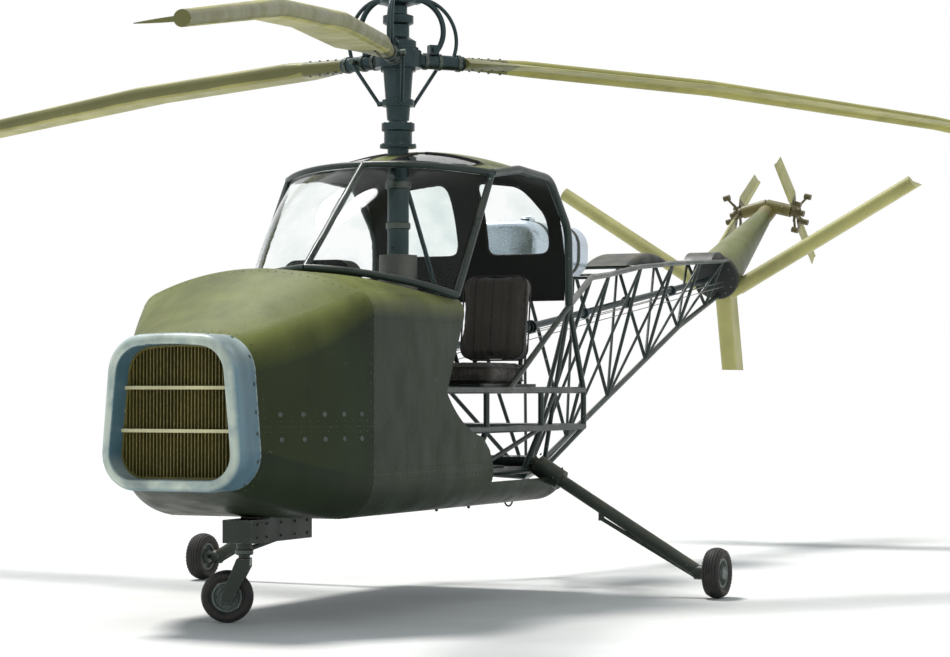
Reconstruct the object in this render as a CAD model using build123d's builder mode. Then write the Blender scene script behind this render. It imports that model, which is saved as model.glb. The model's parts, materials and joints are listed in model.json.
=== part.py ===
"""Light two-seat helicopter of the 1950s, parked on its wheels.

A flat-six engine sits in the nose behind a large intake ring, and the rotor
mast rises between the two seats. The cabin sides are open, and the rear
fuselage is a bare tube frame that carries a tail cone, two tail rotors and
three fins. It stands on a castering nose wheel and two outrigger legs.

Millimetres. X points to the port side, -Y to the nose and Z up. The origin is
the middle of the jack pad's face under the belly, on the rotor mast's axis, so
the ground is at Z = GROUND.
"""

from build123d import *

import os
from math import cos, pi, radians, sin, sqrt

os.makedirs("parts", exist_ok=True)

SIDES = {"port": 1, "starboard": -1}

# Overall places
GROUND = -420
FIT = 0.4             # gap between pieces that seat on each other
SHAFT_FIT = 0.08      # radial running clearance of a shaft in its bore

# Skins of the nose and the belly
SKIN = 14
BELLY = 15
NOSE_Y = -2030
RING_DEPTH = 175
RING_RIM = 46
COWL_FRONT = NOSE_Y + RING_DEPTH
COWL_REAR = -1340
COWL_SPLIT = 400
BODY_HALF = 560
BODY_CORNER = 170
SIDE_LOW = 200
SIDE_HIGH = 900
DECK_TOP = 1060
DECK_CROWN = 130
DECK_CORNER = 110
BELLY_REAR = 700
BELLY_TAIL_Y = -150
BELLY_TAIL_HEIGHT = 130
PAD_RADIUS = 60
FIREWALL_Y = -1020

# Grille in the intake ring
GRILLE_Y = NOSE_Y + 95
GRILLE_DEPTH = 30
GRILLE_FRAME = 8
FIN_COUNT = 33
FIN_PITCH = 16
FIN_THICK = 4
BAR_HEIGHT = 14
BAR_SHARES = (0.36, 0.68)

# Engine
ENGINE_CENTRE = (0, -1375, 395)
ENGINE_SIZE = (640, 650, 450)

# Windscreen and roof
SCREEN_BASE_Y = -908
SCREEN_BASE_MID_Y = -780
SCREEN_BASE_SIDE_Y = -480
SCREEN_TOP_Y = -359
SCREEN_TOP_Z = 1576
SCREEN_TOP_SIDE_Y = -100
SCREEN_TOP_SIDE_Z = 1540
SCREEN_MID_X = 300
SCREEN_BULGE = 60
SCREEN_LIFT = 5       # slope allowance between the base bow and the deck
POST_RADIUS = 16
BOW_RADIUS = 17
HOOP_RADIUS = 20
HOOP_INSET = 30
HOOP_X = BODY_HALF - HOOP_INSET
HOOP_FOOT_Y = 815
HOOP_FOOT_Z = 960
HOOP_BEND = 160
GLASS = 5
ROOF_SKIN = 12
ROOF_HALF = HOOP_X - HOOP_RADIUS - 1.5 * FIT
ROOF_SPLIT_Y = 500

# Tube frame round and behind the seats
TUBE = 16
CROSS_TUBE = 15
POST_TUBE = 14
THIN_TUBE = 11
FRAME_LOW_X = 440
FRAME_LOW_Z = 165
FRAME_SIDE_X = BODY_HALF - SKIN - TUBE - FIT
FRAME_SIDE_Z = 367
RAIL_Z = 547
FRAME_FRONT = FIREWALL_Y + FIT
FRAME_SEAT_Y = -160
FRAME_BACK_Y = 466
FRAME_LOW_END_Y = 700
FRAME_END_Y = 1000
KEEL_JOINT = (0, 1500, 90)
FLOOR = 12
FLOOR_HALF = 410
FLOOR_REAR = 300

# Seats
SEAT_INNER = 150
SEAT_WIDTH = 360
SEAT_FRONT = -60
SEAT_DEPTH = 440
SEAT_PAN = 14
CUSHION = 95
BACK_HEIGHT = 430
BACK_THICK = 80
BACK_LEAN = 8.0

# Instruments and controls
PANEL_CENTRE = (0, -750, 1020)
PANEL_SIZE = (340, 110, 200)
PEDESTAL_SIZE = (120, 70)
DIAL_RADIUS = 36
DIAL_DEPTH = 8
STICK_RADIUS = 12

# Gearbox and mast
GEARBOX_RADIUS = 130
GEARBOX_TOP = 750
GEARBOX_NECK = 90
GEARBOX_NECK_LOW = 1040
GEARBOX_NECK_TOP = 1180
MAST_RADIUS = 50
MAST_TOP = 1665
BEARING_RADIUS = 70
BEARING_TOP = 1800
SHAFT_RADIUS = 44
SHAFT_DEPTH = 95
BRACE_TOP_Z = 1500
BRACE_FOOT_X = 130

# Tail
BOOM_TUBE = 16
BOOM_STEP = 0.8       # the long tubes get thinner by this much at each joint
BOOM_POST = 10
BOOM_CROSS = 9
BOOM_BRACE = 8
RING_CENTRE = (0, 4500, 1262)
TAIL_RISE = 24.5
TAIL_RING_RADIUS = 150
TAIL_RING_THICK = 40
CONE_LENGTH = 985
CONE_END_RADIUS = 62
TAIL_HUB_X = 200
TAIL_HUB_Y = 5550
TAIL_HUB_Z = 1735
TAIL_CANT = 14.0
TAIL_SHAFT_RADIUS = 16
TAIL_BOSS_RADIUS = 42
TAIL_HUB_RADIUS = 34
TAIL_HUB_HALF = 26
TAIL_ROTOR_RADIUS = 680
TAIL_CHORD = 85
TAIL_BLADE_THICK = 11
TAIL_PITCH = 8.0
COUNTERWEIGHTS = 4    # bob weights round each tail hub
COUNTERWEIGHT_REACH = 128
DRIVE_RADIUS = 18
DRIVE_START_Z = 700
TANK_WIDTH = 400
TANK_HEIGHT = 280
TANK_CORNER = 110
TANK_FRONT = 1200
TANK_LENGTH = 700

# Landing gear
MAIN_WHEEL_X = 1385
MAIN_WHEEL_Y = 545
MAIN_WHEEL_RADIUS = 118
MAIN_WHEEL_WIDTH = 84
NOSE_WHEEL_RADIUS = 110
NOSE_WHEEL_WIDTH = 76
CASTER_Y = -1430
NOSE_TRAIL = 70
NOSE_WHEEL_Y = CASTER_Y - NOSE_TRAIL
NOSE_TURN = -65       # how the wheel stands, turned about the caster from straight ahead
AXLE_RADIUS = 12
LEG_RADIUS = 30
LEG_ROOT_X = 450
LEG_ROOT_Z = 205
LEG_COLLAR = 50
LEG_BEAM_RADIUS = 28
STAY_RADIUS = 10
STAY_SHARE = 0.42     # of the leg's run, where the stay starts under it
STAY_DROP = 54
KNUCKLE_X = 1310
NOSE_STRUT_RADIUS = 24
NOSE_STRUT_END = -150
SPINDLE_RADIUS = 14
SPINDLE_LENGTH = 60
FORK_GAP = 10
FORK_PLATE = 12

# Main rotor
HUB_Z = 2100
HUB_RADIUS = 110
HUB_HALF = 40
ROTOR_RADIUS = 4400
BLADE_ROOT = 330
BLADE_CHORD = 250
BLADE_THICK = 30
BLADE_DROOPS = (455, 370, 370)    # at the tips, the forward blade first
BLADE_PITCH = 5.0
BLADE_COUNT = 3
FIRST_BLADE = 18.0    # turned from the nose towards the port side
GRIP_RADIUS = 35
COVER_LOW_Z = 1815
COVER_TOP_Z = 2045
COVER_LOW_RADIUS = 52
COVER_TOP_RADIUS = 70
HEAD_RADIUS = 85
HEAD_TOP = 2440
OUTER_ARM = 9
INNER_ARM = 13
OUTER_ARM_REACH = 285
INNER_ARM_REACH = 178
ARM_LUG = (46, 40, 44)
LINK_RADIUS = 9
LINK_RING_Z = 1895
LINK_RING_RADIUS = 75


def strut(start, end, radius, mode=Mode.ADD):
    """A round bar from one point to another, in the part being built."""
    run = Vector(*end) - Vector(*start)
    with BuildSketch(Plane(origin=start, z_dir=run)) as section:
        Circle(radius)
    extrude(section.sketch, amount=run.length, mode=mode)


def tube_along(path, radius, mode=Mode.ADD):
    """A round tube along a path, in the part being built."""
    with BuildSketch(Plane(origin=path @ 0, z_dir=path % 0)) as section:
        Circle(radius)
    sweep(section.sketch, path=path, mode=mode)


def block(centre, size, mode=Mode.ADD):
    """A plain block about a point, in the part being built."""
    with Locations(centre):
        Box(*size, mode=mode)


def flip(point, side):
    """A port side point, on the side that is asked for."""
    return (point[0] * side, point[1], point[2])


def station(y):
    """An upright plane across the helicopter: X to port, local Y up."""
    return Plane(origin=(0, y, 0), x_dir=(1, 0, 0), z_dir=(0, -1, 0))


def side_plane(x):
    """An upright plane along the helicopter: local X aft, local Y up."""
    return Plane(origin=(x, 0, 0), x_dir=(0, 1, 0), z_dir=(1, 0, 0))


def save(piece, name):
    """Name a finished piece and write it to its own file."""
    piece.part.label = name
    export_step(piece.part, f"parts/{name}.step")


# Intake ring and grille

def nose_outline(low_half, high_half, low, high, low_corner, high_corner, crown, inset=0):
    """A rounded trapezoid with a crowned top, drawn in all round by the inset."""
    top = high - inset
    eave = top - crown
    with BuildLine() as outline:
        Polyline(
            (-(high_half - inset), eave),
            (-(low_half - inset), low + inset),
            (low_half - inset, low + inset),
            (high_half - inset, eave),
        )
        ThreePointArc((high_half - inset, eave), (0, top), (-(high_half - inset), eave))
    make_face(outline.edges())
    fillet(vertices().group_by(Axis.Y)[0], low_corner - inset)
    fillet(vertices().group_by(Axis.Y)[-1], high_corner - inset)


# columns: low half width, high half width, low, high, low corner, high corner, crown
BODY_SECTION = (BODY_HALF, BODY_HALF, BELLY, DECK_TOP, BODY_CORNER, DECK_CORNER, DECK_CROWN)
RING_SECTION = (335, 285, 146, 776, 150, 160, 20)
# columns: y, then the same as above
COWL_SECTIONS = [
    (COWL_FRONT, *RING_SECTION),
    (-1640, 460, 425, 72, 890, 165, 165, 95),
    (COWL_REAR, *BODY_SECTION),
]


def cowl_form(overrun, inset):
    """The nose form in the part being built, drawn in by the inset."""
    sections = []
    for y, *shape in COWL_SECTIONS:
        reach = {COWL_FRONT: -overrun, COWL_REAR: overrun}.get(y, 0)
        with BuildSketch(station(y + reach)) as section:
            nose_outline(*shape, inset=inset)
        sections.append(section.sketch)
    loft(sections)


with BuildPart() as intake_ring:
    with BuildSketch(station(COWL_FRONT - FIT)):
        nose_outline(*RING_SECTION)
    extrude(amount=RING_DEPTH - FIT)
    front_edges = faces().sort_by(Axis.Y)[0].edges()
    fillet(front_edges, RING_RIM * 0.68)
    with BuildSketch(station(COWL_FRONT)):
        nose_outline(*RING_SECTION, inset=RING_RIM)
    extrude(amount=RING_DEPTH, mode=Mode.SUBTRACT)
    inner_rim = faces().sort_by(Axis.Y)[0].inner_wires()[0].edges()
    fillet(inner_rim, RING_RIM * 0.2)
save(intake_ring, "intake_ring")

OPENING_LOW = RING_SECTION[2] + RING_RIM
OPENING_HIGH = RING_SECTION[3] - RING_RIM
BAR_LEVELS = [OPENING_LOW + share * (OPENING_HIGH - OPENING_LOW) for share in BAR_SHARES]

with BuildSketch() as grille_outline:
    nose_outline(*RING_SECTION, inset=RING_RIM + FIT)

with BuildSketch() as fin_slots:
    nose_outline(*RING_SECTION, inset=RING_RIM + FIT + GRILLE_FRAME)
    with Locations((0, (OPENING_LOW + OPENING_HIGH) / 2)):
        with GridLocations(FIN_PITCH, 0, FIN_COUNT, 1):
            Rectangle(FIN_THICK, OPENING_HIGH - OPENING_LOW, mode=Mode.SUBTRACT)

with BuildSketch() as bar_field:
    with Locations(*[(0, level) for level in BAR_LEVELS]):
        Rectangle(2 * RING_SECTION[0], BAR_HEIGHT)

with BuildPart() as grille_fins:
    with BuildSketch(station(GRILLE_Y + GRILLE_DEPTH)):
        add(grille_outline.sketch)
        add(fin_slots.sketch, mode=Mode.SUBTRACT)
    extrude(amount=GRILLE_DEPTH)
save(grille_fins, "grille_fins")

with BuildPart() as grille_bars:
    with BuildSketch(station(GRILLE_Y - FIT)):
        add(grille_outline.sketch)
        add(bar_field.sketch, mode=Mode.INTERSECT)
    extrude(amount=BAR_HEIGHT)
save(grille_bars, "grille_bars")


# Nose cowl in two halves, and the engine behind the grille

with BuildPart() as cowl_inside:
    cowl_form(overrun=1, inset=SKIN)

with BuildPart() as nose_cowl_upper:
    cowl_form(overrun=0, inset=0)
    add(cowl_inside.part, mode=Mode.SUBTRACT)
    nose_cowl = nose_cowl_upper.part
    split(bisect_by=Plane.XY.offset(COWL_SPLIT + FIT / 2), keep=Keep.TOP)
save(nose_cowl_upper, "nose_cowl_upper")

with BuildPart() as nose_cowl_lower:
    add(nose_cowl)
    split(bisect_by=Plane.XY.offset(COWL_SPLIT - FIT / 2), keep=Keep.BOTTOM)
save(nose_cowl_lower, "nose_cowl_lower")

with BuildPart() as engine_block:
    block(ENGINE_CENTRE, ENGINE_SIZE)
    chamfer(edges().filter_by(Axis.Y), ENGINE_SIZE[2] * 0.14)
save(engine_block, "engine_block")

ENGINE_REAR = ENGINE_CENTRE[1] + ENGINE_SIZE[1] / 2
FIREWALL_FRONT = FIREWALL_Y - SKIN
MOUNT_PLACES = [
    (x, ENGINE_CENTRE[2] + z)
    for x in (-ENGINE_SIZE[0] * 0.3, ENGINE_SIZE[0] * 0.3)
    for z in (-ENGINE_SIZE[2] * 0.3, ENGINE_SIZE[2] * 0.3)
]

with BuildPart() as firewall:
    with BuildSketch(station(FIREWALL_Y)):
        nose_outline(*BODY_SECTION, inset=SKIN + FIT)
    extrude(amount=SKIN)
    for x, z in MOUNT_PLACES:
        strut((x, FIREWALL_Y, z), (x, ENGINE_REAR + FIT, z), TUBE)
save(firewall, "firewall")


# Skins of the cabin, cut from one shell

BODY_FRONT = COWL_REAR + FIT

with BuildPart() as body_shell:
    with BuildSketch(station(BODY_FRONT)):
        nose_outline(*BODY_SECTION)
    extrude(amount=-(BELLY_REAR - BODY_FRONT))
    with BuildSketch(station(BODY_FRONT)):
        nose_outline(*BODY_SECTION, inset=SKIN)
    extrude(amount=-(BELLY_REAR - BODY_FRONT), mode=Mode.SUBTRACT)


def leg_line(side):
    """Root and wheel end of one main leg's centre line."""
    root = (side * LEG_ROOT_X, MAIN_WHEEL_Y, LEG_ROOT_Z)
    end = (side * (KNUCKLE_X - 10), MAIN_WHEEL_Y, GROUND + MAIN_WHEEL_RADIUS)
    return Vector(*root), Vector(*end)


def leg_tubes(side, growth, mode=Mode.ADD):
    """One main leg and its root collar, in the part being built."""
    root, end = leg_line(side)
    strut(root, end, LEG_RADIUS + growth, mode)
    collar_start = root + (end - root) * 0.035
    collar_end = root + (end - root) * 0.18
    strut(collar_start, collar_end, LEG_COLLAR + growth, mode)


with BuildPart() as belly_skin:
    add(body_shell.part)
    with BuildSketch(side_plane(0)):
        with BuildLine():
            Polyline(
                (BODY_FRONT - 1, 0),
                (BODY_FRONT - 1, SIDE_LOW - FIT),
                (BELLY_TAIL_Y, SIDE_LOW - FIT),
                (BELLY_TAIL_Y, BELLY_TAIL_HEIGHT),
                (BELLY_REAR + 1, BELLY_TAIL_HEIGHT),
                (BELLY_REAR + 1, 0),
                close=True,
            )
        make_face()
    extrude(amount=BODY_HALF + 1, both=True, mode=Mode.INTERSECT)
    for side in SIDES.values():
        leg_tubes(side, FIT, Mode.SUBTRACT)
    with Locations((0, 0, BELLY + SKIN / 2)):
        Cylinder(PAD_RADIUS, BELLY + SKIN / 2, align=(Align.CENTER, Align.CENTER, Align.MAX))
save(belly_skin, "belly_skin")

with BuildPart() as side_panels:
    add(body_shell.part)
    with BuildSketch(side_plane(0)):
        with BuildLine():
            Polyline(
                (BELLY_TAIL_Y, SIDE_LOW),
                (BODY_FRONT - 1, SIDE_LOW),
                (BODY_FRONT - 1, SIDE_HIGH - FIT),
                (-449, SIDE_HIGH - FIT),
                (-642, 539),
            )
            ThreePointArc((-642, 539), (-490, 415), (-265, 337))
            Polyline((-265, 337), (-189, 276), (BELLY_TAIL_Y, SIDE_LOW))
        make_face()
    extrude(amount=BODY_HALF + 1, both=True, mode=Mode.INTERSECT)
    side_skins = side_panels.part.solids().sort_by(Axis.X)

for name, skin in (("starboard", side_skins[0]), ("port", side_skins[-1])):
    with BuildPart() as side_panel:
        add(skin)
    save(side_panel, f"side_panel_{name}")

with BuildPart() as deck_panel:
    add(body_shell.part)
    with BuildSketch(side_plane(0)):
        with BuildLine():
            Polyline(
                (BODY_FRONT - 1, SIDE_HIGH),
                (BODY_FRONT - 1, DECK_TOP + 1),
                (-380, DECK_TOP + 1),
                (-404, 985),
                (-449, SIDE_HIGH),
                close=True,
            )
        make_face()
    extrude(amount=BODY_HALF + 1, both=True, mode=Mode.INTERSECT)
    with BuildSketch():
        with BuildLine():
            ThreePointArc(
                (-HOOP_X, SCREEN_BASE_SIDE_Y),
                (0, SCREEN_BASE_Y),
                (HOOP_X, SCREEN_BASE_SIDE_Y),
            )
            Polyline(
                (HOOP_X, SCREEN_BASE_SIDE_Y), (HOOP_X, 0), (-HOOP_X, 0), (-HOOP_X, SCREEN_BASE_SIDE_Y)
            )
        make_face()
        offset(amount=-BOW_RADIUS)
    extrude(amount=DECK_TOP + 1, mode=Mode.SUBTRACT)
save(deck_panel, "deck_panel")


# Cabin frame: windscreen bows and posts, and a hoop over each side

DECK_ARC = (BODY_HALF ** 2 + DECK_CROWN ** 2) / (2 * DECK_CROWN)


def deck_height(x):
    """Height of the crowned deck, away from its rounded edges."""
    return DECK_TOP - DECK_ARC + sqrt(DECK_ARC ** 2 - x ** 2)


def base_point(x, y):
    """A point on the windscreen's base bow, which rests on the deck."""
    return (x, y, deck_height(x) + BOW_RADIUS + FIT + SCREEN_LIFT)


BASE_CENTRE = base_point(0, SCREEN_BASE_Y)
BASE_MID = base_point(SCREEN_MID_X, SCREEN_BASE_MID_Y)
BASE_SIDE = base_point(HOOP_X, SCREEN_BASE_SIDE_Y)
TOP_CENTRE = (0, SCREEN_TOP_Y, SCREEN_TOP_Z)
TOP_SIDE = (HOOP_X, SCREEN_TOP_SIDE_Y, SCREEN_TOP_SIDE_Z)


def screen_tubes(growth, mode=Mode.ADD):
    """The windscreen's bows and posts, in the part being built."""
    for side in SIDES.values():
        with BuildLine() as base_bow:
            ThreePointArc(BASE_CENTRE, flip(BASE_MID, side), flip(BASE_SIDE, side))
        tube_along(base_bow.wire(), BOW_RADIUS + growth, mode)
        strut(flip(BASE_SIDE, side), flip(TOP_SIDE, side), POST_RADIUS + growth, mode)
    strut(BASE_CENTRE, TOP_CENTRE, POST_RADIUS + growth, mode)
    with BuildLine() as header_bow:
        ThreePointArc(flip(TOP_SIDE, -1), TOP_CENTRE, TOP_SIDE)
    tube_along(header_bow.wire(), BOW_RADIUS + growth, mode)


def hoop_tubes(growth, mode=Mode.ADD):
    """The two side hoops, from the windscreen's top round to the rail."""
    for side in SIDES.values():
        with BuildLine(side_plane(side * HOOP_X)) as hoop:
            FilletPolyline(
                (SCREEN_TOP_SIDE_Y, SCREEN_TOP_SIDE_Z),
                (200, 1580),
                (570, 1565),
                (805, 1330),
                (HOOP_FOOT_Y, HOOP_FOOT_Z),
                radius=HOOP_BEND,
            )
        tube_along(hoop.wire(), HOOP_RADIUS + growth, mode)


with BuildPart() as cabin_frame:
    screen_tubes(0)
    hoop_tubes(0)
save(cabin_frame, "cabin_frame")


def glass_strip(base, top, bulge):
    """A bowed strip of glass from a base point to a top point."""
    run = Vector(*top) - Vector(*base)
    out = Vector(-run.Y, run.X).normalized()
    crest = (Vector(*base) + Vector(*top)) * 0.5 + out * bulge
    inward = out * -GLASS
    with BuildLine() as outline:
        ThreePointArc(base, crest, top)
        Line(top, Vector(*top) + inward)
        ThreePointArc(Vector(*top) + inward, crest + inward, Vector(*base) + inward)
        Line(Vector(*base) + inward, base)
    make_face(outline.edges())


# columns: x, base point, top point, bulge
SCREEN_SECTIONS = [
    (8, (BASE_CENTRE[1], BASE_CENTRE[2]), (SCREEN_TOP_Y, SCREEN_TOP_Z), SCREEN_BULGE * 0.4),
    (SCREEN_MID_X, (BASE_MID[1], BASE_MID[2]), (-277, 1566), SCREEN_BULGE),
    (HOOP_X - 8, (BASE_SIDE[1], BASE_SIDE[2]), (SCREEN_TOP_SIDE_Y, SCREEN_TOP_SIDE_Z), 6),
]

with BuildPart() as windscreen_glass:
    for side in SIDES.values():
        strips = []
        for x, base, top, bulge in SCREEN_SECTIONS:
            with BuildSketch(side_plane(side * x)) as strip:
                glass_strip(base, top, bulge)
            strips.append(strip.sketch)
        loft(strips)
    screen_tubes(FIT, Mode.SUBTRACT)
    panes = windscreen_glass.part.solids().sort_by(SortBy.VOLUME)[-2:]

with BuildPart() as screen_panes:
    add(panes)
save(screen_panes, "windscreen_glass")


# Roof and rear canopy, lofted over fanned crowned sections

# columns: y, z at the edges, slope of the run in degrees, crown
ROOF_ROWS = [
    (-430, 1455, 22, 98),
    (-100, 1540, 16, 92),
    (220, 1572, 4, 112),
    (ROOF_SPLIT_Y, 1580, -14, 84),
]
REAR_ROWS = [
    (ROOF_SPLIT_Y, 1580, -14, 84),
    (690, 1470, -46, 70),
    (795, 1260, -80, 50),
    (805, 985, -89, 36),
]


def crowned_form(rows, thickness, sink=0):
    """A crowned skin lofted over sections square to its run."""
    sections = []
    for y, z, slope, crown in rows:
        run = Vector(0, cos(radians(slope)), sin(radians(slope)))
        with BuildSketch(Plane(origin=(0, y, z), x_dir=(-1, 0, 0), z_dir=run)) as section:
            with BuildLine() as outline:
                ThreePointArc((-ROOF_HALF, -sink), (0, crown - sink), (ROOF_HALF, -sink))
                Line((ROOF_HALF, -sink), (ROOF_HALF, -sink - thickness))
                ThreePointArc(
                    (ROOF_HALF, -sink - thickness),
                    (0, crown - sink - thickness),
                    (-ROOF_HALF, -sink - thickness),
                )
                Line((-ROOF_HALF, -sink - thickness), (-ROOF_HALF, -sink))
            make_face(outline.edges())
        sections.append(section.sketch)
    loft(sections)


def front_window(side, margin):
    """Plan outline of one window in the front of the roof."""
    with BuildLine() as outline:
        Polyline(
            (side * (70 - margin), -235 - margin),
            (side * (330 + margin), -165 - margin),
            (side * (410 + margin), -60),
            (side * (410 + margin), 90 + margin),
            (side * (70 - margin), 90 + margin),
            close=True,
        )
    make_face(outline.edges())
    fillet(vertices(), 28)


def rear_window(side, margin):
    """Outline of one window in the rear canopy, seen from astern."""
    with BuildLine() as outline:
        Polyline(
            (side * (80 - margin), 1215 - margin),
            (side * (430 + margin), 1215 - margin),
            (side * (440 + margin), 1400),
            (side * (330 + margin), 1545 + margin),
            (side * (80 - margin), 1575 + margin),
            close=True,
        )
    make_face(outline.edges())
    fillet(vertices(), 45)


WINDOW_REACH = 2000
REAR_WINDOW_Y = 300
ROOF_LAP = 8
ROOF_FRONT = SCREEN_TOP_Y + ROOF_LAP
ROOF_FRONT_SIDE = SCREEN_TOP_SIDE_Y + ROOF_LAP

with BuildPart() as window_cutter:
    for side in SIDES.values():
        with BuildSketch():
            front_window(side, 0)
        extrude(amount=WINDOW_REACH)
        with BuildSketch(station(WINDOW_REACH)):
            rear_window(side, 0)
        extrude(amount=WINDOW_REACH - REAR_WINDOW_Y)

with BuildPart() as window_keeper:
    for side in SIDES.values():
        with BuildSketch():
            front_window(side, -FIT)
        extrude(amount=WINDOW_REACH)
        with BuildSketch(station(WINDOW_REACH)):
            rear_window(side, -FIT)
        extrude(amount=WINDOW_REACH - REAR_WINDOW_Y)

with BuildPart() as roof_panel:
    crowned_form(ROOF_ROWS, ROOF_SKIN)
    with BuildSketch():
        with BuildLine():
            ThreePointArc((HOOP_X, ROOF_FRONT_SIDE), (0, ROOF_FRONT), (-HOOP_X, ROOF_FRONT_SIDE))
            Polyline(
                (-HOOP_X, ROOF_FRONT_SIDE),
                (-BODY_HALF, ROOF_FRONT_SIDE),
                (-BODY_HALF, SCREEN_BASE_Y),
                (BODY_HALF, SCREEN_BASE_Y),
                (BODY_HALF, ROOF_FRONT_SIDE),
                (HOOP_X, ROOF_FRONT_SIDE),
            )
        make_face()
    extrude(amount=WINDOW_REACH, mode=Mode.SUBTRACT)
    add(window_cutter.part, mode=Mode.SUBTRACT)
    screen_tubes(FIT, Mode.SUBTRACT)
    with Locations((0, 0, MAST_TOP)):
        Cylinder(MAST_RADIUS + FIT, MAST_TOP, mode=Mode.SUBTRACT)
save(roof_panel, "roof_panel")

with BuildPart() as rear_canopy:
    crowned_form(REAR_ROWS, ROOF_SKIN)
    block((0, ROOF_SPLIT_Y - 100 + FIT, 1500), (1100, 200, 500), Mode.SUBTRACT)
    add(window_cutter.part, mode=Mode.SUBTRACT)
save(rear_canopy, "rear_canopy")

with BuildPart() as roof_windows:
    crowned_form(ROOF_ROWS, GLASS, sink=(ROOF_SKIN - GLASS) / 2)
    crowned_form(REAR_ROWS, GLASS, sink=(ROOF_SKIN - GLASS) / 2)
    add(window_keeper.part, mode=Mode.INTERSECT)
save(roof_windows, "roof_windows")


# Tube frame: two side trusses, cross tubes and struts to the keel joint

FRAME_JOINTS = {
    "low_front": (FRAME_LOW_X, FRAME_FRONT, FRAME_LOW_Z),
    "low_seat": (FRAME_LOW_X, FRAME_SEAT_Y, FRAME_LOW_Z),
    "low_back": (FRAME_LOW_X, FRAME_BACK_Y, FRAME_LOW_Z),
    "low_end": (FRAME_LOW_X, FRAME_LOW_END_Y, FRAME_LOW_Z),
    "side_front": (FRAME_SIDE_X, FRAME_FRONT, FRAME_SIDE_Z),
    "side_seat": (FRAME_SIDE_X, FRAME_SEAT_Y, FRAME_SIDE_Z),
    "side_back": (FRAME_SIDE_X, FRAME_BACK_Y, FRAME_SIDE_Z),
    "side_end": (FRAME_SIDE_X, FRAME_END_Y, FRAME_SIDE_Z),
    "rail_front": (FRAME_SIDE_X, FRAME_FRONT, RAIL_Z),
    "rail_seat": (FRAME_SIDE_X, FRAME_SEAT_Y, RAIL_Z),
    "rail_lap": (FRAME_SIDE_X, 80, RAIL_Z),
    "rail_back": (FRAME_SIDE_X, FRAME_BACK_Y, RAIL_Z),
    "rail_mid": (FRAME_SIDE_X, 640, RAIL_Z),
    "rail_end": (FRAME_SIDE_X, FRAME_END_Y, RAIL_Z),
    "hoop_foot": (FRAME_SIDE_X, HOOP_FOOT_Y, HOOP_FOOT_Z),
}
# columns: radius, joint, joint
FRAME_TUBES = [
    (TUBE, "low_front", "low_end"),
    (TUBE, "side_front", "side_end"),
    (TUBE, "rail_front", "rail_end"),
    (POST_TUBE, "low_seat", "side_seat"),
    (POST_TUBE, "side_seat", "rail_seat"),
    (POST_TUBE, "low_back", "side_back"),
    (POST_TUBE, "side_back", "rail_back"),
    (POST_TUBE, "low_end", "side_end"),
    (POST_TUBE, "side_end", "rail_end"),
    (POST_TUBE, "rail_end", "hoop_foot"),
    (POST_TUBE, "rail_lap", "hoop_foot"),
    (THIN_TUBE, "low_end", "rail_mid"),
    (THIN_TUBE, "side_back", "rail_mid"),
    (THIN_TUBE, "low_seat", "side_back"),
    (THIN_TUBE, "rail_mid", "hoop_foot"),
]
CROSS_JOINTS = ["low_seat", "low_back", "low_end", "rail_seat", "rail_back", "rail_end", "side_end"]
KEEL_ROOTS = ["low_end", "side_end", "hoop_foot"]


def frame_tubes(growth, mode=Mode.ADD):
    """The body's welded tubes, in the part being built."""
    for side in SIDES.values():
        for radius, start, end in FRAME_TUBES:
            ends = flip(FRAME_JOINTS[start], side), flip(FRAME_JOINTS[end], side)
            strut(*ends, radius + growth, mode)
        for name in KEEL_ROOTS:
            strut(flip(FRAME_JOINTS[name], side), KEEL_JOINT, THIN_TUBE + growth, mode)
    for name in CROSS_JOINTS:
        joint = FRAME_JOINTS[name]
        strut(flip(joint, -1), joint, CROSS_TUBE + growth, mode)
    beam = (LEG_ROOT_X, MAIN_WHEEL_Y, LEG_ROOT_Z)
    strut(flip(beam, -1), beam, LEG_BEAM_RADIUS + growth, mode)


with BuildPart() as body_frame:
    frame_tubes(0)
save(body_frame, "body_frame")

FLOOR_LOW = FRAME_LOW_Z + CROSS_TUBE + FIT

with BuildPart() as cabin_floor:
    block(
        (0, (FIREWALL_Y + FIT + FLOOR_REAR) / 2, FLOOR_LOW + FLOOR / 2),
        (2 * FLOOR_HALF, FLOOR_REAR - FIREWALL_Y - FIT, FLOOR),
    )
save(cabin_floor, "cabin_floor")

FLOOR_TOP = FLOOR_LOW + FLOOR


# Seats

PAN_LOW = RAIL_Z + CROSS_TUBE + FIT
PAN_TOP = PAN_LOW + SEAT_PAN
SEAT_MID_X = SEAT_INNER + SEAT_WIDTH / 2
SEAT_REAR = SEAT_FRONT + SEAT_DEPTH
CUSHION_TOP = PAN_TOP + FIT + CUSHION
LEAN = radians(BACK_LEAN)
BACK_SHIFT = (CUSHION + 2 * FIT) * sin(LEAN) / cos(LEAN)
BACK_TUBE_Y = SEAT_REAR + (THIN_TUBE + FIT) / cos(LEAN)
BACK_TUBE_RISE = CUSHION + 0.9 * BACK_HEIGHT

with BuildPart() as seat_pans:
    for side in SIDES.values():
        block(
            (side * SEAT_MID_X, (FRAME_SEAT_Y + FRAME_BACK_Y) / 2, PAN_LOW + SEAT_PAN / 2),
            (SEAT_WIDTH, FRAME_BACK_Y - FRAME_SEAT_Y, SEAT_PAN),
        )
    fillet(edges().filter_by(Axis.Z), 20)
    for side in SIDES.values():
        for x in (SEAT_MID_X - 120, SEAT_MID_X + 120):
            foot = Vector(side * x, BACK_TUBE_Y, PAN_TOP)
            top = foot + Vector(0, sin(LEAN), cos(LEAN)) * BACK_TUBE_RISE
            strut(foot - (top - foot) * 0.01, top, THIN_TUBE)
save(seat_pans, "seat_pans")


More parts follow.
